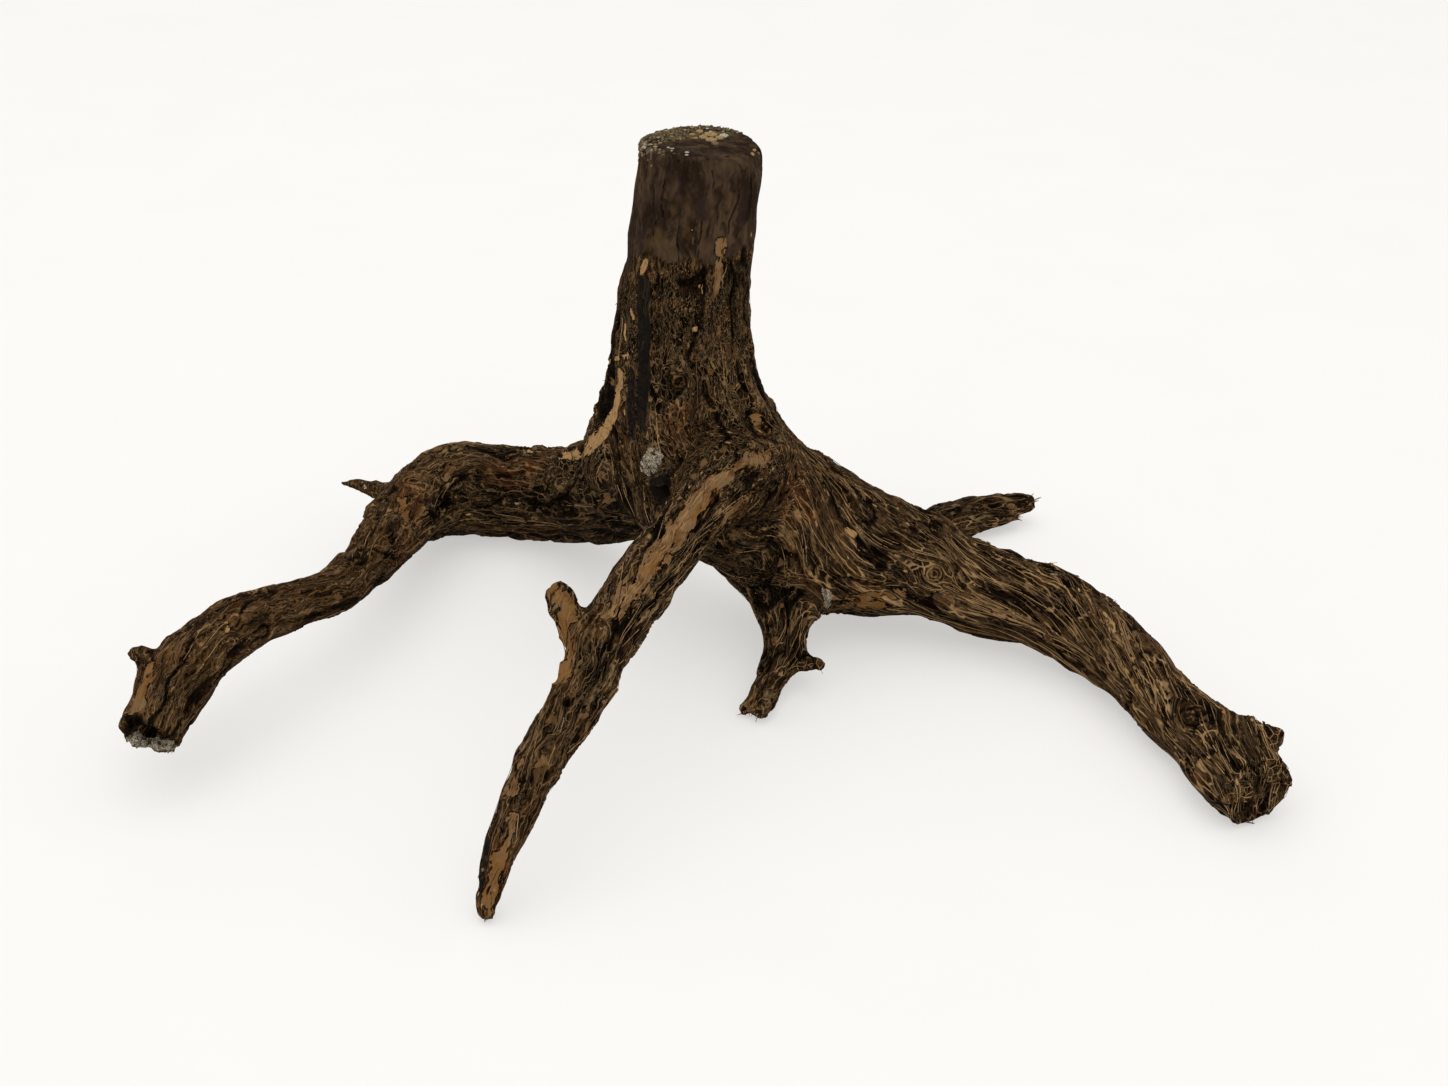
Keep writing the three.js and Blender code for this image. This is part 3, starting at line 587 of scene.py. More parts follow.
class Tint:
    """A number, colour or vector on its way through a material. Sums with it add Math nodes, or
    Vector Math nodes where one side is a colour or a vector."""

    def __init__(self, socket):
        self.socket = socket

    def node(self, kind, settings=None, inputs=None, out=0):
        """Adds any node: settings are set first, then the sockets' values or links."""
        tree = self.socket.id_data
        made = tree.nodes.new(kind)
        for key, value in (settings or {}).items():
            setattr(made, key, value)
        for key, value in (inputs or {}).items():
            if isinstance(value, Tint):
                tree.links.new(value.socket, made.inputs[key])
            else:
                made.inputs[key].default_value = value
        return Tint(made.outputs[out])

    def is_vector(self, other=None):
        others = isinstance(other, tuple) or (isinstance(other, Tint) and other.socket.type != "VALUE")
        return self.socket.type != "VALUE" or others

    def sum_with(self, operation, first, second):
        if self.is_vector(first) or self.is_vector(second):
            first = (first,) * 3 if isinstance(first, (int, float)) else first
            second = (second,) * 3 if isinstance(second, (int, float)) else second
            return self.node("ShaderNodeVectorMath", {"operation": operation}, {0: first, 1: second})
        return self.node("ShaderNodeMath", {"operation": operation}, {0: first, 1: second})

    def __add__(self, other):
        return self.sum_with("ADD", self, other)

    __radd__ = __add__

    def __sub__(self, other):
        return self.sum_with("SUBTRACT", self, other)

    def __rsub__(self, other):
        return self.sum_with("SUBTRACT", other, self)

    def __mul__(self, other):
        return self.sum_with("MULTIPLY", self, other)

    def __neg__(self):
        return self * -1.0

    def step(self, low, high):
        """0 below low and 1 above high, smooth between."""
        return self.node(
            "ShaderNodeMapRange",
            {"interpolation_type": "SMOOTHSTEP"},
            {"Value": self, "From Min": low, "From Max": high},
        )

    def noise(self, scale, detail=1.0, roughness=0.5, out="Fac"):
        """Smooth noise at this place, whose cells are 1 / scale long on each axis."""
        inputs = {"Vector": self * scale, "Scale": 1.0, "Detail": detail, "Roughness": roughness}
        return self.node("ShaderNodeTexNoise", None, inputs, out)

    def wave(self, turns):
        """The sine of this number times so many turns."""
        return self.node("ShaderNodeMath", {"operation": "SINE"}, {0: self * (turns * 2 * math.pi)})


def new_finish(name):
    """A new material with its shader's nodes, and a place in millimetres to start patterns from."""
    made = bpy.data.materials.new(name)
    made.use_nodes = True
    tree = made.node_tree
    shader = tree.nodes["Principled BSDF"]
    place = Tint(tree.nodes.new("ShaderNodeTexCoord").outputs["Object"]) * 1000.0
    return made, shader, place


def put(shader, name, value):
    """Links a value or colour to one of the shader's sockets."""
    shader.id_data.links.new(value.socket, shader.inputs[name])


def mark(place, name, out="Fac"):
    """One of the mesh's own values, written on its points."""
    return place.node("ShaderNodeAttribute", {"attribute_name": name}, None, out)


def flat(colour):
    """A colour with its alpha."""
    return (colour[0], colour[1], colour[2], 1.0)


# Near black, for dark marks and for painted shade.
BLACK_AND_SHADE = flat((0.0022, 0.0013, 0.0008))
DARK_BARK = flat((0.0075, 0.0038, 0.0016))
BROWN_BARK = flat((0.038, 0.0185, 0.0066))
WARM_BARK = flat((0.1, 0.046, 0.0145))
STRAND = flat((0.42, 0.258, 0.118))
GREY_STRAND = flat((0.16, 0.108, 0.06))
BARE_WOOD = flat((0.215, 0.118, 0.048))
BARE_PALE = flat((0.36, 0.215, 0.098))
BARE_SHADE = flat((0.085, 0.042, 0.016))
CLEAN_WOOD = flat((0.42, 0.25, 0.11))
CLEAN_SHADE = flat((0.24, 0.135, 0.056))
GOLDEN = flat((0.19, 0.088, 0.024))
RUST = flat((0.1, 0.031, 0.0085))
STRIPPED_DARK = flat((0.019, 0.0112, 0.0068))
STRIPPED_LIGHT = flat((0.075, 0.046, 0.0255))
LICHEN_GREY = flat((0.3, 0.25, 0.18))
LICHEN_WHITE = flat((0.7, 0.6, 0.46))
SAWN_WOOD = flat((0.12, 0.085, 0.04))
WORN_PURPLE = flat((0.03, 0.0175, 0.0155))
WORN_OLIVE = flat((0.085, 0.05, 0.018))
WORN_RED = flat((0.105, 0.05, 0.021))
GUTTER_AND_SHADE_BLACK = flat((0.0135, 0.0105, 0.0085))

bark, shader, place = new_finish("weathered_bark")
grain_at = mark(place, "grain", "Vector")
relief_at = mark(place, "relief")
crease_at = mark(place, "creases")
curl_at = mark(place, "curl")
calm_at = mark(place, "calm")
bare_at = mark(place, "bare")
gutter_and_shade_at = mark(place, "gutter_and_shade")
stain_at = mark(place, "stain")
crust_at = mark(place, "crust")
sawn_at = mark(place, "sawn")
broken_at = mark(place, "broken")
hollow_at = mark(place, "hollow")
stripped_at = mark(place, "stripped")
lined_at = mark(place, "lined")
pepper_at = mark(place, "pepper")
shade_and_darkening_at = mark(place, "shade_and_darkening")
gap_at = mark(place, "gaps")
plate_at = mark(place, "plates")
clean_at = mark(place, "clean")


def laid(pigment, share, under):
    """A pigment laid over the colour below it, as much as share says."""
    return share.node("ShaderNodeMix", {"data_type": "RGBA"}, {0: share, 6: under, 7: pigment}, 2)


def layered(under, layers):
    """Pigments laid over a colour one after another, each as much as its share says."""
    for pigment, share in layers:
        under = laid(pigment, share, under)
    return under


def bumped(place, height, strength, depth):
    """The normal of a surface raised by a height, at most so many millimetres deep."""
    inputs = {"Height": height, "Strength": strength, "Distance": depth * MM}
    return place.node("ShaderNodeBump", None, inputs, "Normal")


def net(at, scale, feature="DISTANCE_TO_EDGE", out="Distance"):
    """The cells of a Voronoi pattern at this place, 1 / scale long on each axis."""
    settings = {"feature": feature, "voronoi_dimensions": "3D"}
    return at.node("ShaderNodeTexVoronoi", settings, {"Vector": at * scale, "Scale": 1.0}, out)


# The place in the bundle of fibres, bent by noise, and less so where the strands run straight.
drift = (place.noise(0.13, 1.5, out="Color") - 0.5) * (4.6 - lined_at * 3.4)
sway = (place.noise(0.42, 1.0, out="Color") - 0.5) * (1.5 - lined_at)
fibre = grain_at + drift + sway
small = place.noise(0.9, 2.5)
speck = place.noise(2.4, 2.0)
blotch = place.noise(0.1, 3.0, 0.55)
patchy = place.noise(0.3, 2.0)

# Strands are the borders of a net of long cells drawn out along the grain, and the crests of a
# wave of stretched noise. Round the knots and on the lower trunk the cells are short and curled.
swept = fibre + (place.noise(0.24, 1.0, out="Color") - 0.5) * 4.2
long_net = net(fibre, (0.56, 0.56, 0.042))
short_net = net(swept, (0.78, 0.78, 0.24))
fine_net = net(fibre, (1.15, 1.15, 0.1))
long_wave = fibre.noise((0.34, 0.34, 0.03), 1.4, 0.45)
curl_wave = swept.noise((0.36, 0.36, 0.15), 1.6, 0.5)
contour = long_wave + curl_at * (curl_wave - long_wave)
crest = contour.wave(9.0)
middling = contour.step(0.3, 0.38) * contour.step(0.7, 0.62)
net_line = long_net + curl_at * (short_net - long_net)
streak = fibre.noise((2.6, 2.6, 0.13), 3.0, 0.6)
bold = 1.0 - pepper_at * 0.75
# The pale strands are dimmed where the painted shade and the darkening lie.
dimmed = 1.0 - shade_and_darkening_at * 0.65
ragged = fibre.noise((0.3, 0.3, 0.07), 2.0)
lines = net_line.step(0.07, 0.022) * ragged.step(0.38, 0.54) * (0.35 + lined_at * 0.65) * bold
lines = lines * (1.0 - calm_at * 0.5) * dimmed
contours = crest.step(0.88, 0.995) * middling * ragged.step(0.64, 0.42) * bold * (1.15 - lined_at * 0.75)
contours = contours * dimmed
# Hairs and ticks are the finest pale marks, and slits, pits, voids and pores the dark ones.
hairs = fine_net.step(0.09, 0.03) * ragged.step(0.62, 0.5) * 0.7 * dimmed
ticks = fibre.noise((3.4, 3.4, 1.3), 1.5).step(0.585, 0.66) * patchy.step(0.36, 0.56)
ticks = ticks * (0.25 + pepper_at * 0.75)
slits = (-crest).step(0.42, 0.95) * (0.75 + curl_at * 0.25 - lined_at * 0.35)
pits = net_line.step(0.15, 0.28) * small.step(0.4, 0.5) * (0.5 + lined_at * 0.5)
voids = swept.noise((0.5, 0.5, 0.13), 1.5).step(0.575, 0.62) * (1.2 - calm_at * 0.6 - lined_at * 0.7)
pores = fibre.noise((1.35, 1.35, 0.36), 1.5).step(0.6 - calm_at * 0.03, 0.66 - calm_at * 0.04)
covered_by_bark = stripped_at.step(0.35, -0.25)

# The bark from its ground colour upwards: stains, painted shade in the crooks, dark marks, painted shade in
# the gaps, then pale strands, knots, painted shade where the relief sinks and in the creases, and chips.
tone = (streak - 0.5) * 1.5 + (blotch - 0.5) * 2.0 + 0.44 + lined_at * 0.14
warm = place.noise(0.2, 2.0).step(0.46, 0.72)
ringed_at = mark(place, "ringed") + (small - 0.5) * 0.25
in_knot = ringed_at.step(1.0, 0.75)
flakes = net(fibre, (0.62, 0.62, 0.3), "F1", "Color")
flake_mark = flakes.node("ShaderNodeSeparateColor", None, {0: flakes}, 0)
flake_tone = flakes.node("ShaderNodeSeparateColor", None, {0: flakes}, 1)
chips = (flake_mark + (patchy - 0.5) * 0.5 + (small - 0.5) * 0.2).step(0.955, 0.985)
glints = net(fibre, (1.0, 1.0, 0.55), "F1").step(0.2, 0.1) * patchy.step(0.5, 0.6)
barked = layered(laid(BROWN_BARK, tone.step(0.1, 0.9), DARK_BARK), [
    (WARM_BARK, warm * tone.step(0.3, 0.95) * 0.75),
    (WARM_BARK, calm_at * (streak.step(0.25, 0.6) * 0.4 + 0.12)),
    (WARM_BARK, (plate_at + (small - 0.5) * 0.9).step(0.35, 0.6) * (0.25 + streak * 0.7)),
    # Painted shade in the crooks and along the back root, and a darkening on the front root.
    (BLACK_AND_SHADE, shade_and_darkening_at * (0.68 + blotch * 0.4)),
    (RUST, (stain_at + (small - 0.5) * 4.0).step(-0.5, 2.2) * 0.6),
    (BLACK_AND_SHADE, slits),
    (BLACK_AND_SHADE, pits * 0.8),
    (BLACK_AND_SHADE, pores * 0.75),
    (BLACK_AND_SHADE, voids * 0.88),
    # Painted shade: black in the sunken gaps of the bark.
    (BLACK_AND_SHADE, (gap_at + (small - 0.5) * 0.7).step(0.3, 0.6) * 0.95),
    (GREY_STRAND, hairs * 0.5),
    (STRAND, ticks * 0.5),
    (STRAND, contours * 0.62),
    (STRAND, lines * (0.4 + streak * 0.9)),
    (WARM_BARK, in_knot * 0.45),
    (STRAND, in_knot * ringed_at.wave(3.4).step(0.72, 0.98) * 0.4),
    (BLACK_AND_SHADE, in_knot * (-ringed_at.wave(3.4)).step(0.3, 0.9) * 0.8),
    # Painted shade: near black where the relief sinks and along the creases.
    (BLACK_AND_SHADE, relief_at.step(-0.2, -0.8) * 0.6),
    (BLACK_AND_SHADE, crease_at.step(0.13, 0.05) * 0.85),
    (laid(BARE_SHADE, flake_tone, BARE_WOOD), chips * 0.8),
    (BARE_PALE, glints * 0.55),
])

# The stripped upper trunk: smooth, streaked brown wood with long dark cracks.
worn_tone = swept.noise((0.5, 0.5, 0.05), 3.0, 0.6)
worn = laid(STRIPPED_LIGHT, (worn_tone + (blotch - 0.5) * 0.8).step(0.32, 0.74), STRIPPED_DARK)
worn = layered(worn, [
    (WORN_PURPLE, place.noise(0.16, 2.0).step(0.5, 0.66) * 0.65),
    (WORN_OLIVE, place.noise(0.14, 2.5).step(0.6, 0.74) * 0.6),
    (WORN_RED, (stain_at + (small - 0.5) * 1.6).step(-0.4, 1.2) * 0.4),
    (BLACK_AND_SHADE, fibre.noise((0.9, 0.9, 0.05), 1.0).step(0.64, 0.70) * 0.75),
    (GREY_STRAND, fibre.noise((1.9, 1.9, 0.05), 1.0).step(0.70, 0.76) * 0.35),
    (DARK_BARK, place.noise((0.22, 0.22, 0.1), 2.5).step(0.5, 0.62) * 0.5),
])

# The torn edge of a peeled patch steps from fibre bundle to fibre bundle.
torn = net(fibre, (0.8, 0.8, 0.16), "F1", "Color")
torn_step = torn.node("ShaderNodeSeparateColor", None, {0: torn}, 0)
edge = bare_at + (torn_step - 0.5) * 2.3 + (small - 0.5) * 1.1 + (speck - 0.5) * 0.5
edge = edge - fibre.noise((0.55, 0.55, 0.14), 2.0).step(0.56, 0.66) * 2.4
peeled = edge.step(-0.05, 0.1)
rim = edge.step(-0.6, -0.2) * (1.0 - peeled)
tan = laid(BARE_WOOD, (streak * 0.7 + blotch * 0.7 + (patchy - 0.5) * 0.6).step(0.5, 0.82), BARE_SHADE)
tan = layered(tan, [
    (BARE_PALE, bare_at.step(0.5, 2.4) * streak.step(0.45, 0.62) * 0.55),
    (GOLDEN, (stain_at + (patchy - 0.5) * 3.0).step(-0.5, 1.5) * 0.6),
    (DARK_BARK, fibre.noise((1.5, 1.5, 0.12), 2.0).step(0.62, 0.70) * 0.8),
    (GREY_STRAND, patchy.step(0.52, 0.66) * 0.5),
    (laid(CLEAN_WOOD, streak.step(0.3, 0.6), CLEAN_SHADE), clean_at.step(-0.9, -0.2)),
])

# The broken end, the sawn face with its saw lines, and the cracked lichen crust.
raw = (broken_at + (small - 0.5) * 0.8).step(-0.1, 0.4)
raw_wood = laid(BARE_SHADE, streak.step(0.4, 0.7), DARK_BARK)
saw_lines = (place * (0.35, 1.0, 0.0)).noise((1.0, 1.4, 1.0), 3.0)
sawn_face = sawn_at.step(-0.2, 0.3) * (mark(place, "olive") + (small - 0.5) * 2.0).step(-0.6, 1.0)
sawn_wood = laid(SAWN_WOOD, small.step(0.3, 0.7), DARK_BARK)
sawn_wood = laid(BLACK_AND_SHADE, saw_lines.step(0.54, 0.68) * 0.6, sawn_wood)
lichen = (crust_at + (speck - 0.5) * 0.9 + (small - 0.5) * 1.0).step(0.0, 0.3)
cracks = net(place, (1.3, 1.3, 1.0)).step(0.07, 0.03)
lichen_colour = layered(laid(LICHEN_GREY, small.step(0.32, 0.5), BROWN_BARK), [
    (LICHEN_WHITE, speck.step(0.44, 0.58) * small.step(0.3, 0.6)),
    (DARK_BARK, cracks * 0.8),
])

# Bark, stripped wood, gutter with painted shade by the holes, peeled patches, broken end, painted shade
# in the holes, sawn face and lichen, and painted shade on the faces that look down.
# The painted shade beside the holes and under the left root is the same black as the gutter.
black_gutter_and_shade = (gutter_and_shade_at + (small - 0.5) * 1.2).step(-0.1, 0.5)
colour = layered(barked, [
    (worn, 1.0 - covered_by_bark),
    (GUTTER_AND_SHADE_BLACK, black_gutter_and_shade * 0.92),
    (GREY_STRAND, black_gutter_and_shade * fibre.noise((1.1, 1.1, 0.05), 2.0).step(0.58, 0.72) * 0.2),
    (BLACK_AND_SHADE, rim * 0.85),
    (tan, peeled),
    (raw_wood, raw),
    # Painted shade: near black inside the holes and in the hollow heart of the broken end.
    (BLACK_AND_SHADE, hollow_at.step(-0.6, 0.8) * 0.94),
    (sawn_wood, sawn_face),
    (lichen_colour, lichen * 0.9),
    # Painted shade on the faces that look down.
    (BLACK_AND_SHADE, mark(place, "underside_shade") * 0.72),
])
put(shader, "Base Color", colour)
put(shader, "Roughness", 0.78 + streak * 0.16 - black_gutter_and_shade * 0.14)
shader.inputs["Specular IOR Level"].default_value = 0.015
# The bump: pale strands stand up and dark slits sink, and peeled wood lies lower and smoother.
height = lines * 0.42 + contours * 0.22 + hairs * 0.12
height = height - slits * 0.34 - pores * 0.2 - pits * 0.3 - voids * 0.5
height = (height + (streak - 0.5) * 0.26) * covered_by_bark * (1.0 - peeled)
height = height + (streak - 0.5) * 0.3 + (speck - 0.5) * 0.14 - rim * 0.3 - peeled * 0.25
height = height + lichen * (speck - 0.2) * 0.5
put(shader, "Normal", bumped(place, height, 1.0, 0.8))

body.data.materials.append(bark)
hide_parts("driftwood")
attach(body, "root")

# THE LOOSE FIBRES: strands of inner bark that stand proud of the wood, each a thin tapering tube
# that runs with the grain, round the knots too, and is half sunk in the skin.
shaped_out = facing(skin)


def flow_of(points, out_ways, edges, along):
    """The direction on the skin in which the fibre coordinates change least. Each edge adds its
    direction times itself, weighted by the square of that change, to the matrices of both its
    ends, and the least eigenvector of a matrix, kept off the normal, is the flow there."""
    change = grain[edges[:, 1], :2] - grain[edges[:, 0], :2]
    run = points[edges[:, 1]] - points[edges[:, 0]]
    length = np.linalg.norm(run, axis=1)[:, None] + 1e-9
    unit = run / length
    energy = (change**2).sum(axis=1) / length[:, 0]**2
    parts = (unit[:, :, None] * unit[:, None, :] * energy[:, None, None]).reshape(-1, 9)
    total = np.stack([
        np.bincount(edges[:, 0], parts[:, k], len(points))
        + np.bincount(edges[:, 1], parts[:, k], len(points))
        for k in range(9)
    ], axis=1)
    total = relaxed(total, edges, 4).reshape(-1, 3, 3)
    total = total + 50.0 * out_ways[:, :, None] * out_ways[:, None, :]
    flow = np.linalg.eigh(total)[1][:, :, 0]
    return flow * np.where((flow * along).sum(axis=1) < 0, -1, 1)[:, None]


class Ground:
    """The skin as a lattice of cells that know their nearest point, for walks over it."""

    def __init__(self, points, size=1.1, rounds=3):
        self.size = size
        self.low = points.min(axis=0) - 6 * size
        shape = ((points.max(axis=0) - self.low) / size).astype(int) + 8
        self.cells = np.full(shape, -1, dtype=np.int32)
        at = ((points - self.low) / size).astype(int)
        self.cells[at[:, 0], at[:, 1], at[:, 2]] = np.arange(len(points))
        for _ in range(rounds):
            for axis in range(3):
                for way in (1, -1):
                    moved = np.roll(self.cells, way, axis=axis)
                    self.cells = np.where(self.cells < 0, moved, self.cells)

    def nearest(self, where):
        """The number of the skin point in the cell that holds each place, or -1."""
        at = np.clip(((where - self.low) / self.size).astype(int), 0, np.array(self.cells.shape) - 1)
        return self.cells[at[:, 0], at[:, 1], at[:, 2]]


def walk(starts, flow, ground, steps, stride, sway, seed):
    """Paths over the skin, one row each: at every step all of them move a stride along the flow,
    turned sideways by noise, and drop back onto the nearest point's tangent plane."""
    at = shaped[starts].copy()
    rows, lifts = [at.copy()], [shaped_out[starts].copy()]
    for _ in range(steps - 1):
        near = ground.nearest(at)
        near = np.where(near < 0, starts, near)
        way = flow[near]
        side = np.cross(shaped_out[near], way)
        turn = sway * rumple(at / 5.0 + np.arange(len(at))[:, None] * 3.7, seed, 2)
        at = at + stride * (way + side * turn[:, None])
        near = ground.nearest(at)
        known = near >= 0
        near = np.where(known, near, starts)
        off = ((at - shaped[near]) * shaped_out[near]).sum(axis=1)
        known &= (np.abs(off) < 1.2) & (np.linalg.norm(at - shaped[near], axis=1) < 2.2)
        at = np.where(known[:, None], at - shaped_out[near] * off[:, None], rows[-1])
        rows.append(at.copy())
        lifts.append(shaped_out[near].copy())
    return np.stack(rows, axis=1), np.stack(lifts, axis=1)


def ring_faces(count, long, sides):
    """The faces of shapes whose points are rings, one after another, then a point to close each end:
    quads between neighbouring rings, and triangles from the first and the last ring to their points."""
    i, j = np.meshgrid(np.arange(long - 1), np.arange(sides), indexing="ij")
    k = (j + 1) % sides
    walls = np.stack([i * sides + j, i * sides + k, (i + 1) * sides + k, (i + 1) * sides + j], axis=-1)
    j = np.arange(sides)
    k = (j + 1) % sides
    last = (long - 1) * sides
    start = np.stack([k, j, np.full(sides, long * sides)], axis=1)
    end = np.stack([last + j, last + k, np.full(sides, long * sides + 1)], axis=1)
    shift = (np.arange(count) * (long * sides + 2))[:, None, None]
    quads = (walls.reshape(-1, 4)[None] + shift).reshape(-1, 4)
    caps = (np.concatenate([start, end])[None] + shift).reshape(-1, 3)
    return quads, caps


def tubes(paths, lifts, radii, sides=5, squash=0.8):
    """Tapering tubes: round each path point a ring of the cosine times the sideways direction
    plus the sine times the outward one, as wide as its radius, closed at both ends by a tip point."""
    count, long, _ = paths.shape
    along = np.gradient(paths, axis=1)
    along /= np.linalg.norm(along, axis=2)[..., None] + 1e-9
    side = np.cross(lifts, along)
    side /= np.linalg.norm(side, axis=2)[..., None] + 1e-9
    up = np.cross(along, side)
    angle = np.arange(sides) * 2 * math.pi / sides
    ring = side[:, :, None] * np.cos(angle)[:, None] + up[:, :, None] * (np.sin(angle) * squash)[:, None]
    rings = paths[:, :, None] + ring * radii[:, :, None, None]
    first_tip = paths[:, 0] - along[:, 0] * radii[:, :1]
    last_tip = paths[:, -1] + along[:, -1] * radii[:, -1:]
    tips = np.stack([first_tip, last_tip], axis=1)
    points = np.concatenate([rings.reshape(count, -1, 3), tips], axis=1).reshape(-1, 3)
    quads, caps = ring_faces(count, long, sides)
    return points, quads, caps, long * sides + 2


def piece_of(name, points, quads, caps, finish, tones):
    """An object of quads and triangles, in millimetres, with a tone on every point."""
    mesh = bpy.data.meshes.new(name)
    corners_of = np.concatenate([quads.ravel(), caps.ravel()]).astype(np.int32)
    sizes = np.concatenate([np.full(len(quads), 4), np.full(len(caps), 3)]).astype(np.int32)
    mesh.vertices.add(len(points))
    inside = np.clip(points, low + EDGE_ROOM, top - EDGE_ROOM)
    mesh.vertices.foreach_set("co", (inside * MM).ravel())
    mesh.loops.add(len(corners_of))
    mesh.loops.foreach_set("vertex_index", corners_of)
    mesh.polygons.add(len(sizes))
    mesh.polygons.foreach_set("loop_start", np.concatenate([[0], np.cumsum(sizes)[:-1]]).astype(np.int32))
    mesh.polygons.foreach_set("use_smooth", np.ones(len(sizes), dtype=bool))
    mesh.update(calc_edges=True)
    mesh.validate()
    mesh.attributes.new("tone", "FLOAT", "POINT").data.foreach_set("value", tones.astype(np.float32))
    mesh.materials.append(finish)
    made = bpy.data.objects.new(name, mesh)
    bpy.context.scene.collection.objects.link(made)
    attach(made, "root")


ways = flow_of(shaped, shaped_out, corners, fibres)
ground = Ground(shaped)
fibre_wood, shader, place = new_finish("loose_fibre")
tone_at = mark(place, "tone")
thread = place.noise(1.4, 2.0)
LOOSE_PALE = flat((0.42, 0.255, 0.118))
LOOSE_DARK = flat((0.035, 0.018, 0.0075))
colour = laid(LOOSE_PALE, (tone_at + (thread - 0.5) * 0.4).step(0.15, 0.95), LOOSE_DARK)
colour = laid(BLACK_AND_SHADE, thread.step(0.60, 0.72) * 0.7, colour)
put(shader, "Base Color", colour)
put(shader, "Roughness", 0.7 + thread * 0.25)
shader.inputs["Specular IOR Level"].default_value = 0.06
put(shader, "Normal", bumped(place, thread, 0.6, 0.15))

dice = np.random.default_rng(7)
bark_share = covered * (1 - 0.6 * calm) * ramp_up(shaped[:, 2], 0.6, 2.5) * (1 - ramp_up(broken, -1, 0.5))


def strand_starts(where, count):
    """Skin points drawn at random from a region, more of them where there is bark."""
    odds = where * bark_share
    return dice.choice(len(odds), size=count, replace=False, p=odds / odds.sum())


STRIDE = 1.6
SWAY = 0.1
right_side = ramp_up(shaped[:, 0], 14, 60) * ramp_down(shaped[:, 1], 20, 60)
front_side = ramp_down(shaped[:, 1], -12, -4) * ramp_down(shaped[:, 0], 8, 20)
left_side = ramp_down(shaped[:, 0], -36, -26)
middle = ramp_down(np.abs(shaped[:, 0]), 20, 36) * ramp_down(shaped[:, 2], 100, 118)
for name, where, count, steps in (
    ("fibres_of_right_root", right_side, 460, 20), ("fibres_of_front_root", front_side, 120, 10),
    ("fibres_of_left_root", left_side, 130, 10), ("fibres_of_crown", middle, 200, 10),
):
    starts = strand_starts(where, count)
    paths, lifts = walk(starts, ways, ground, steps, STRIDE, SWAY, 41)
    for _ in range(2):
        paths[:, 1:-1] = 0.5 * paths[:, 1:-1] + 0.25 * (paths[:, :-2] + paths[:, 2:])
    taper = np.sin(np.linspace(0.12, math.pi - 0.12, steps)) ** 0.5
    thick = dice.uniform(0.07, 0.15, count)[:, None] * taper[None]
    points, quads, caps, each = tubes(paths + lifts * 0.03, lifts, thick, 3)
    tones = np.repeat(dice.random(count) ** 1.2, each)
    piece_of(name, points, quads, caps, fibre_wood, tones)

# THE TORN ENDS: splinters and bristles of old wood at the broken tips, on the sawn rim and along
# the lips of the bark, each a short stiff sliver that leaves the skin at a slant.
def slivers(name, centres, spread, count, lean, length, radius, seed, tone):
    """Thin cones set on skin points near the centres. Each runs from its foot along the lean plus
    a little of the outward direction and some chance, bending slightly, to a fine tip."""
    luck = np.random.default_rng(seed)
    odds = near_to(shaped, centres, spread)
    feet = luck.choice(len(odds), size=count, replace=False, p=odds / odds.sum())
    steps = 6
    t = np.linspace(0, 1, steps)[None, :, None]
    way = np.array(lean)[None] + 0.35 * shaped_out[feet] + 0.22 * luck.normal(size=(count, 3))
    way /= np.linalg.norm(way, axis=1)[:, None]
    long = luck.uniform(length[0], length[1], count)[:, None, None]
    bow = 0.12 * luck.normal(size=(count, 1, 3))
    foot = shaped[feet] - shaped_out[feet] * 0.35 - way * 0.8
    paths = foot[:, None] + long * (way[:, None] * t + bow * t * (1 - t))
    lifts = np.repeat(shaped_out[feet][:, None], steps, axis=1)
    thick = luck.uniform(radius[0], radius[1], count)[:, None] * (1 - np.linspace(0, 0.86, steps))[None]
    points, quads, caps, each = tubes(paths, lifts, thick, 5, 0.55)
    piece_of(name, points, quads, caps, fibre_wood, np.repeat(luck.uniform(*tone, count), each))


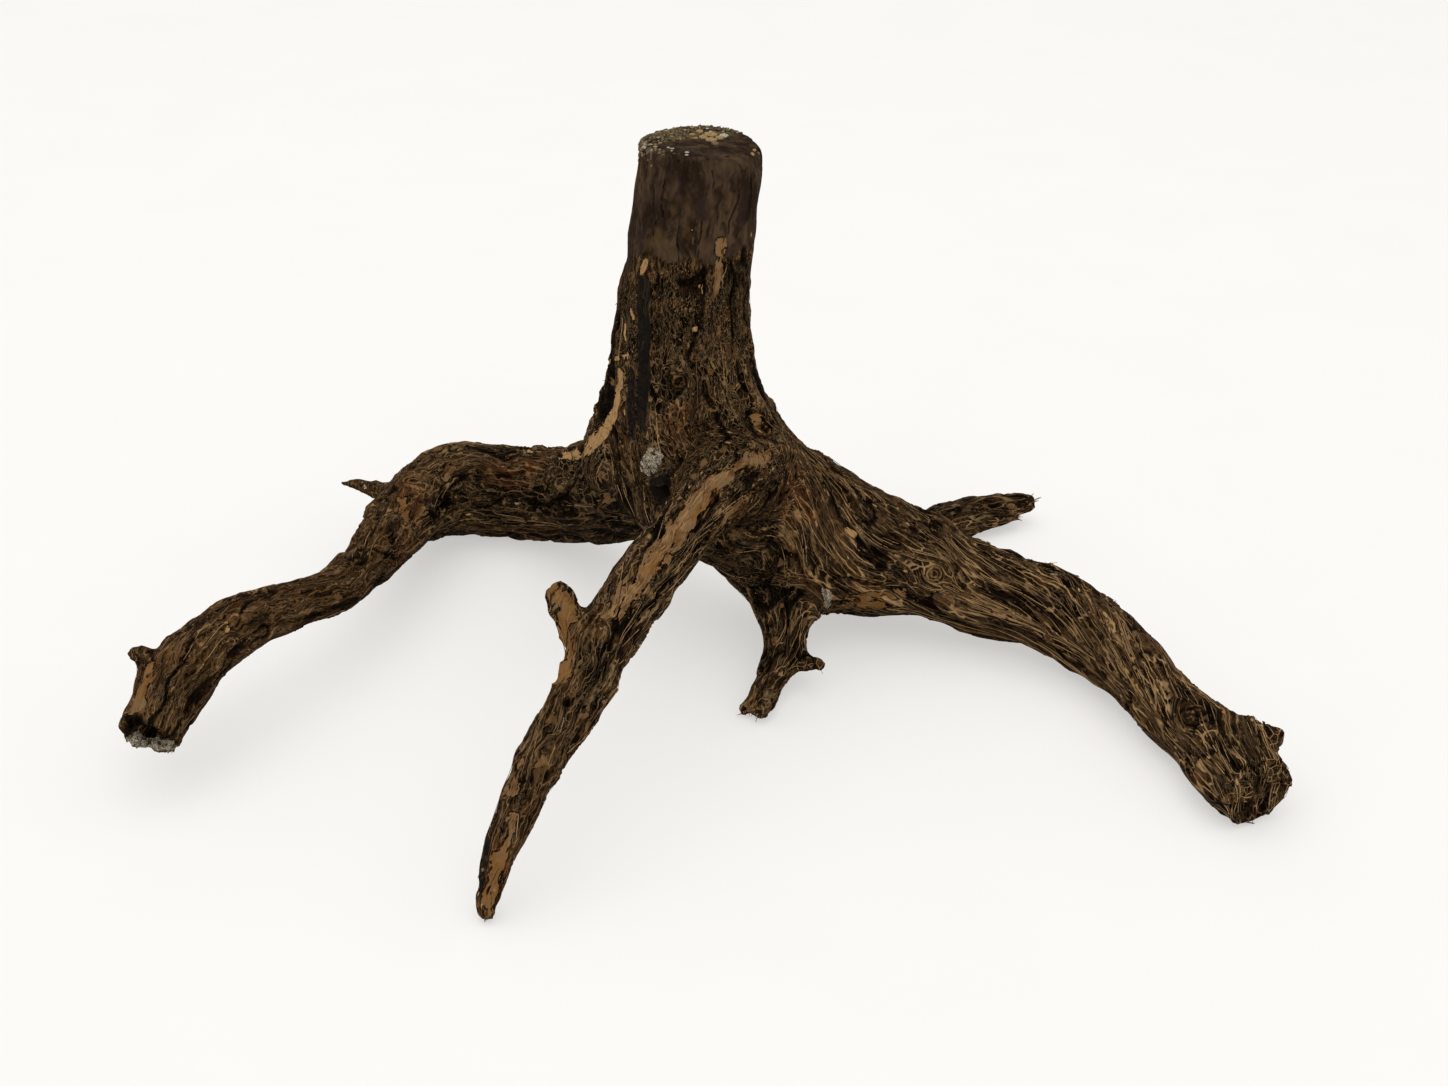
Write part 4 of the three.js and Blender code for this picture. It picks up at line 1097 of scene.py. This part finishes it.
# Each set's name, centres, spread, count, lean, lengths, radii, seed and tones.
for sliver_set in (
    ("splinters_front_tip", [(-46, -97, 12), (-48.4, -99, 8), (-47, -102, 4)],
     2.2, 22, (-0.1, -0.35, -0.9), (0.9, 2.6), (0.35, 0.75), 51, (0.1, 0.8)),
    ("splinters_beside_tip", [(-47.2, -97, 13.6), (-47.5, -98.6, 11.3)],
     0.7, 5, (0.16, -0.3, -0.94), (1.8, 2.8), (0.8, 1.1), 59, (0.0, 0.12)),
    ("splinters_left_end", [(-138, -52, 20), (-131, -54, 11), (-126, -50, 16), (-133, -50, 25)],
     2.0, 26, (-0.14, -0.87, -0.46), (0.5, 1.2), (0.4, 0.8), 52, (0.0, 0.5)),
    ("splinters_right_end", [(126, -68, 3), (134, -66, 6), (138, -60, 12), (136, -56, 18)],
     2.6, 26, (0.3, -0.7, -0.6), (0.5, 1.2), (0.35, 0.7), 53, (0.0, 0.6)),
    ("splinters_back_root", [(99, 90, 8), (96, 88, 5)],
     2.2, 34, (0.9, 0.2, 0.2), (1.2, 3.6), (0.25, 0.5), 54, (0.2, 0.9)),
    ("splinters_small_root", [(12, -17, 2.5), (14.6, -20.6, 2.6), (11, -19, 2)],
     1.6, 30, (-0.2, -0.8, -0.3), (1.0, 2.6), (0.2, 0.45), 55, (0.2, 0.8)),
    ("splinters_side_stub", [(-34.7, -44, 54.5), (-33, -43, 55)],
     1.9, 24, (-0.5, 0.1, 0.8), (0.3, 0.9), (0.3, 0.6), 56, (0.3, 1.0)),
    ("bristles_of_top", [(-1, 36.5, 139.6), (3, 36.8, 139.6), (6.5, 36, 139.6)],
     2.2, 26, (0.25, 0.1, 0.5), (0.8, 2.2), (0.09, 0.2), 58, (0.0, 0.35)),
    ("bark_whiskers", [(-19.5, 17, 108), (-23.5, 20, 86), (-29.5, 31, 64)],
     3.0, 34, (-0.8, -0.3, -0.5), (0.8, 1.9), (0.3, 0.6), 57, (0.0, 0.5)),
):
    slivers(*sliver_set)

# THE LICHEN: crusty growths on the sawn top. Ochre and grey rosettes lie flat
# with a lobed, slightly raised rim, and crumbs of crust sit between them and along the rim.
crust_stuff, shader, place = new_finish("lichen_crust")
tone_at = mark(place, "tone")
grit = place.noise(2.6, 2.5)
mottle = place.noise(0.8, 2.0)
CRUST_OCHRE = flat((0.33, 0.215, 0.095))
CRUST_OLIVE = flat((0.115, 0.088, 0.048))
CRUST_GREY = flat((0.42, 0.38, 0.3))
CRUST_DARK = flat((0.04, 0.027, 0.014))
CRUST_LIGHT = flat((0.45, 0.36, 0.2))
colour = layered(laid(CRUST_OCHRE, tone_at.step(0.35, 0.65), CRUST_OLIVE), [
    (CRUST_GREY, (tone_at + (mottle - 0.5) * 0.3).step(0.78, 0.92)),
    (CRUST_DARK, grit.step(0.58, 0.7) * 0.8),
    (CRUST_LIGHT, grit.step(0.42, 0.3) * 0.5),
])
put(shader, "Base Color", colour)
put(shader, "Roughness", 0.82 + grit * 0.15)
shader.inputs["Specular IOR Level"].default_value = 0.1
put(shader, "Normal", bumped(place, grit, 0.8, 0.25))


def discs(
    name, feet, ups, radii, heights, lobes, tones, around, rings,
    seed=61, finish=crust_stuff, ahead=None, stretch=1.0,
):
    """Low lobed cushions: over angle a and share r of the radius, each point goes out by
    radius x r x (1 + lobe x cos(k a + shift)) and up by height x (1 - r^2)^0.5 plus a raised rim,
    and the last ring dips under the skin, so the cushion is closed by the wood. Where ahead is
    given, the cushion is stretched along that direction."""
    luck = np.random.default_rng(seed)
    count = len(feet)
    angle = (np.arange(around) * 2 * math.pi / around)[None, None, :]
    share = np.linspace(0.25, 1.0, rings)[None, :, None]
    turns = luck.integers(4, 8, (count, 1, 1))
    shift = luck.uniform(0, 6.28, (count, 1, 1))
    reach = radii[:, None, None] * share * (1 + lobes * share * np.cos(turns * angle + shift))
    rise = heights[:, None, None] * (0.55 + 0.6 * share**3) * np.where(share > 0.99, -0.6, 1)
    side = ahead
    if ahead is None:
        side = np.cross(ups, np.array([0.31, 0.2, 0.93]))
        side[np.linalg.norm(side, axis=1) < 0.3] = (1, 0, 0)
    side /= np.linalg.norm(side, axis=1)[:, None]
    over = np.cross(ups, side)
    rows = (
        feet[:, None, None]
        + side[:, None, None] * (stretch * reach * np.cos(angle))[..., None]
        + over[:, None, None] * (reach * np.sin(angle))[..., None]
        + ups[:, None, None] * (rise + 0 * angle)[..., None]
    )
    middle_point = feet + ups * heights[:, None] * 0.55
    under = feet - ups * heights[:, None] * 0.9
    ends = [middle_point[:, None], under[:, None]]
    points = np.concatenate([rows.reshape(count, -1, 3)] + ends, axis=1).reshape(-1, 3)
    quads, caps = ring_faces(count, rings, around)
    tones = np.repeat(tones, rings * around + 2)
    piece_of(name, points, quads[:, [0, 3, 2, 1]], caps[:, [1, 0, 2]], finish, tones)


def on_skin(wanted):
    """The nearest skin point to each wanted place, and the way it faces."""
    near = np.array([np.argmin(np.linalg.norm(shaped - np.array(w), axis=1)) for w in wanted])
    return shaped[near], shaped_out[near]


ROSETTES = [
    ((2.4, 30.4, 140), 1.75, 0.6), ((2.2, 25.6, 140), 1.5, 0.58), ((4.0, 27.6, 140), 1.1, 0.6),
    ((0.5, 27.8, 140), 1.1, 0.62),
    ((5.6, 29.2, 140), 1.15, 1.0), ((-0.6, 31.9, 140), 0.9, 0.68), ((-2.8, 29.6, 140), 0.75, 0.65),
    ((3.6, 22.4, 140), 0.9, 0.45),
    ((-1.8, 26.2, 140), 0.6, 0.55), ((12.8, 19.2, 139.6), 0.5, 0.62), ((13.2, 21.6, 139.8), 0.45, 0.72),
    ((-7.3, 17.6, 140), 0.5, 0.95),
    ((-3.4, 13.8, 139.9), 0.55, 0.9), ((-8.1, 18.4, 140), 0.4, 0.92), ((-3, 12.4, 139.4), 0.45, 0.95),
    ((-11.6, 18.6, 140), 0.6, 0.7),
    ((-9.6, 21.6, 140), 0.5, 0.66), ((-13.4, 22.4, 140), 0.6, 0.9),
]
feet, ups = on_skin([r[0] for r in ROSETTES])
discs(
    "lichen_rosettes", feet, ups, np.array([r[1] for r in ROSETTES]), np.full(len(ROSETTES), 0.36), 0.13,
    np.array([r[2] for r in ROSETTES]), 26, 7,
)
luck = np.random.default_rng(63)
crumbly = near_to(shaped, [(-14.8, 23, 139.8), (-13.2, 17.4, 139.7), (-9, 15.6, 140)], 1.9)
crumbly += 0.8 * near_to(shaped, [(-12, 31, 140), (-6, 36, 140), (3, 37.6, 140), (9, 35, 140)], 1.8)
crumbly += 0.7 * ramp_up(olive, -0.6, 1.0) * ramp_up(sawn, 0.0, 0.5)
crumbly += 0.6 * near_to(shaped, [(12.6, 16.4, 139.4), (14.2, 21, 139.8)], 1.2)
CRUMBS = 300
chosen = luck.choice(len(crumbly), size=CRUMBS, replace=False, p=crumbly / crumbly.sum())
discs(
    "lichen_crumbs", shaped[chosen], shaped_out[chosen],
    luck.uniform(0.18, 0.62, CRUMBS), luck.uniform(0.1, 0.36, CRUMBS), 0.22,
    np.where(luck.random(CRUMBS) < 0.1, 0.9, luck.uniform(0.0, 0.55, CRUMBS)), 8, 4, 64,
)

# THE BARK CHIPS: small flat scales of inner bark, drawn out along the grain and lying on the skin.
CHIPS = 420
likely = covered * (0.25 + ramp_up(shaped[:, 0], 20, 50) + 0.8 * crown) * (1 - 0.6 * calm)
likely = likely * (1 - 0.5 * pepper)
likely *= ramp_up(shaped[:, 2], 1, 4) * ramp_up(out[:, 2], -0.4, 0.3)
chosen = luck.choice(len(likely), size=CHIPS, replace=False, p=likely / likely.sum())
discs(
    "bark_chips", shaped[chosen], shaped_out[chosen],
    luck.uniform(0.16, 0.42, CHIPS), luck.uniform(0.07, 0.16, CHIPS), 0.3,
    luck.uniform(0.1, 0.9, CHIPS) ** 1.4, 8, 3, 71, fibre_wood, ways[chosen], 2.7,
)

# THE STAGE: a plain pale sweep that the driftwood stands on, under a wide soft light from above
# and a pale sky, as in a catalogue photograph.
FLOOR_COLOUR = flat((0.46, 0.452, 0.44))
FLOOR_SHADE = flat((0.452, 0.444, 0.432))
floor_mesh = bpy.data.meshes.new("floor")
floor_mesh.from_pydata([(-3, -3, 0), (3, -3, 0), (3, 5, 0), (-3, 5, 0)], [], [(0, 1, 2, 3)])
floor = bpy.data.objects.new("floor", floor_mesh)
bpy.context.scene.collection.objects.link(floor)
paper, shader, place = new_finish("pale_paper")
put(shader, "Base Color", laid(FLOOR_SHADE, place.noise(0.02, 2.0).step(0.3, 0.7), FLOOR_COLOUR))
shader.inputs["Roughness"].default_value = 0.9
shader.inputs["Specular IOR Level"].default_value = 0.1
shader.inputs["Emission Color"].default_value = flat((1.0, 0.984, 0.955))
shader.inputs["Emission Strength"].default_value = 0.5
floor_mesh.materials.append(paper)

sky = bpy.data.worlds.new("soft_sky")
sky.use_nodes = True
sky.node_tree.nodes["Background"].inputs["Color"].default_value = (1.0, 0.995, 0.985, 1.0)
sky.node_tree.nodes["Background"].inputs["Strength"].default_value = 0.80
bpy.context.scene.world = sky


def soft_light(name, place_m, aim_m, width_m, watts):
    """A round area light at a place, turned to face another."""
    lamp = bpy.data.lights.new(name, "AREA")
    lamp.shape = "DISK"
    lamp.size = width_m
    lamp.energy = watts
    holder = bpy.data.objects.new(name, lamp)
    away = np.array(place_m) - np.array(aim_m)
    flat_run = math.hypot(away[0], away[1])
    holder.location = place_m
    holder.rotation_euler = (math.atan2(flat_run, away[2]), 0, math.atan2(away[0], -away[1]))
    bpy.context.scene.collection.objects.link(holder)


soft_light("overhead", (-0.2, 0.0, 1.5), (0, 0, 0.04), 2.2, 7.5)
soft_light("front_fill", (0.4, -1.3, 1.0), (0, 0, 0.05), 1.5, 3.0)

# THE CAMERA: a 50 mm lens half a metre off, looking down by 28 degrees, fitted to the photograph.
LOOK_DOWN = 28.0
EYE = (5.6, -456.7, 284.7)
lens = bpy.data.cameras.new("photograph")
lens.lens = 50.0
lens.sensor_width = 36.0
lens.sensor_fit = "HORIZONTAL"
lens.clip_start = 0.01
view = bpy.data.objects.new("photograph", lens)
view.location = [place_mm * MM for place_mm in EYE]
view.rotation_euler = (math.radians(90 - LOOK_DOWN), 0, 0)
bpy.context.scene.collection.objects.link(view)
bpy.context.scene.camera = view
bpy.context.scene.view_settings.view_transform = "Standard"
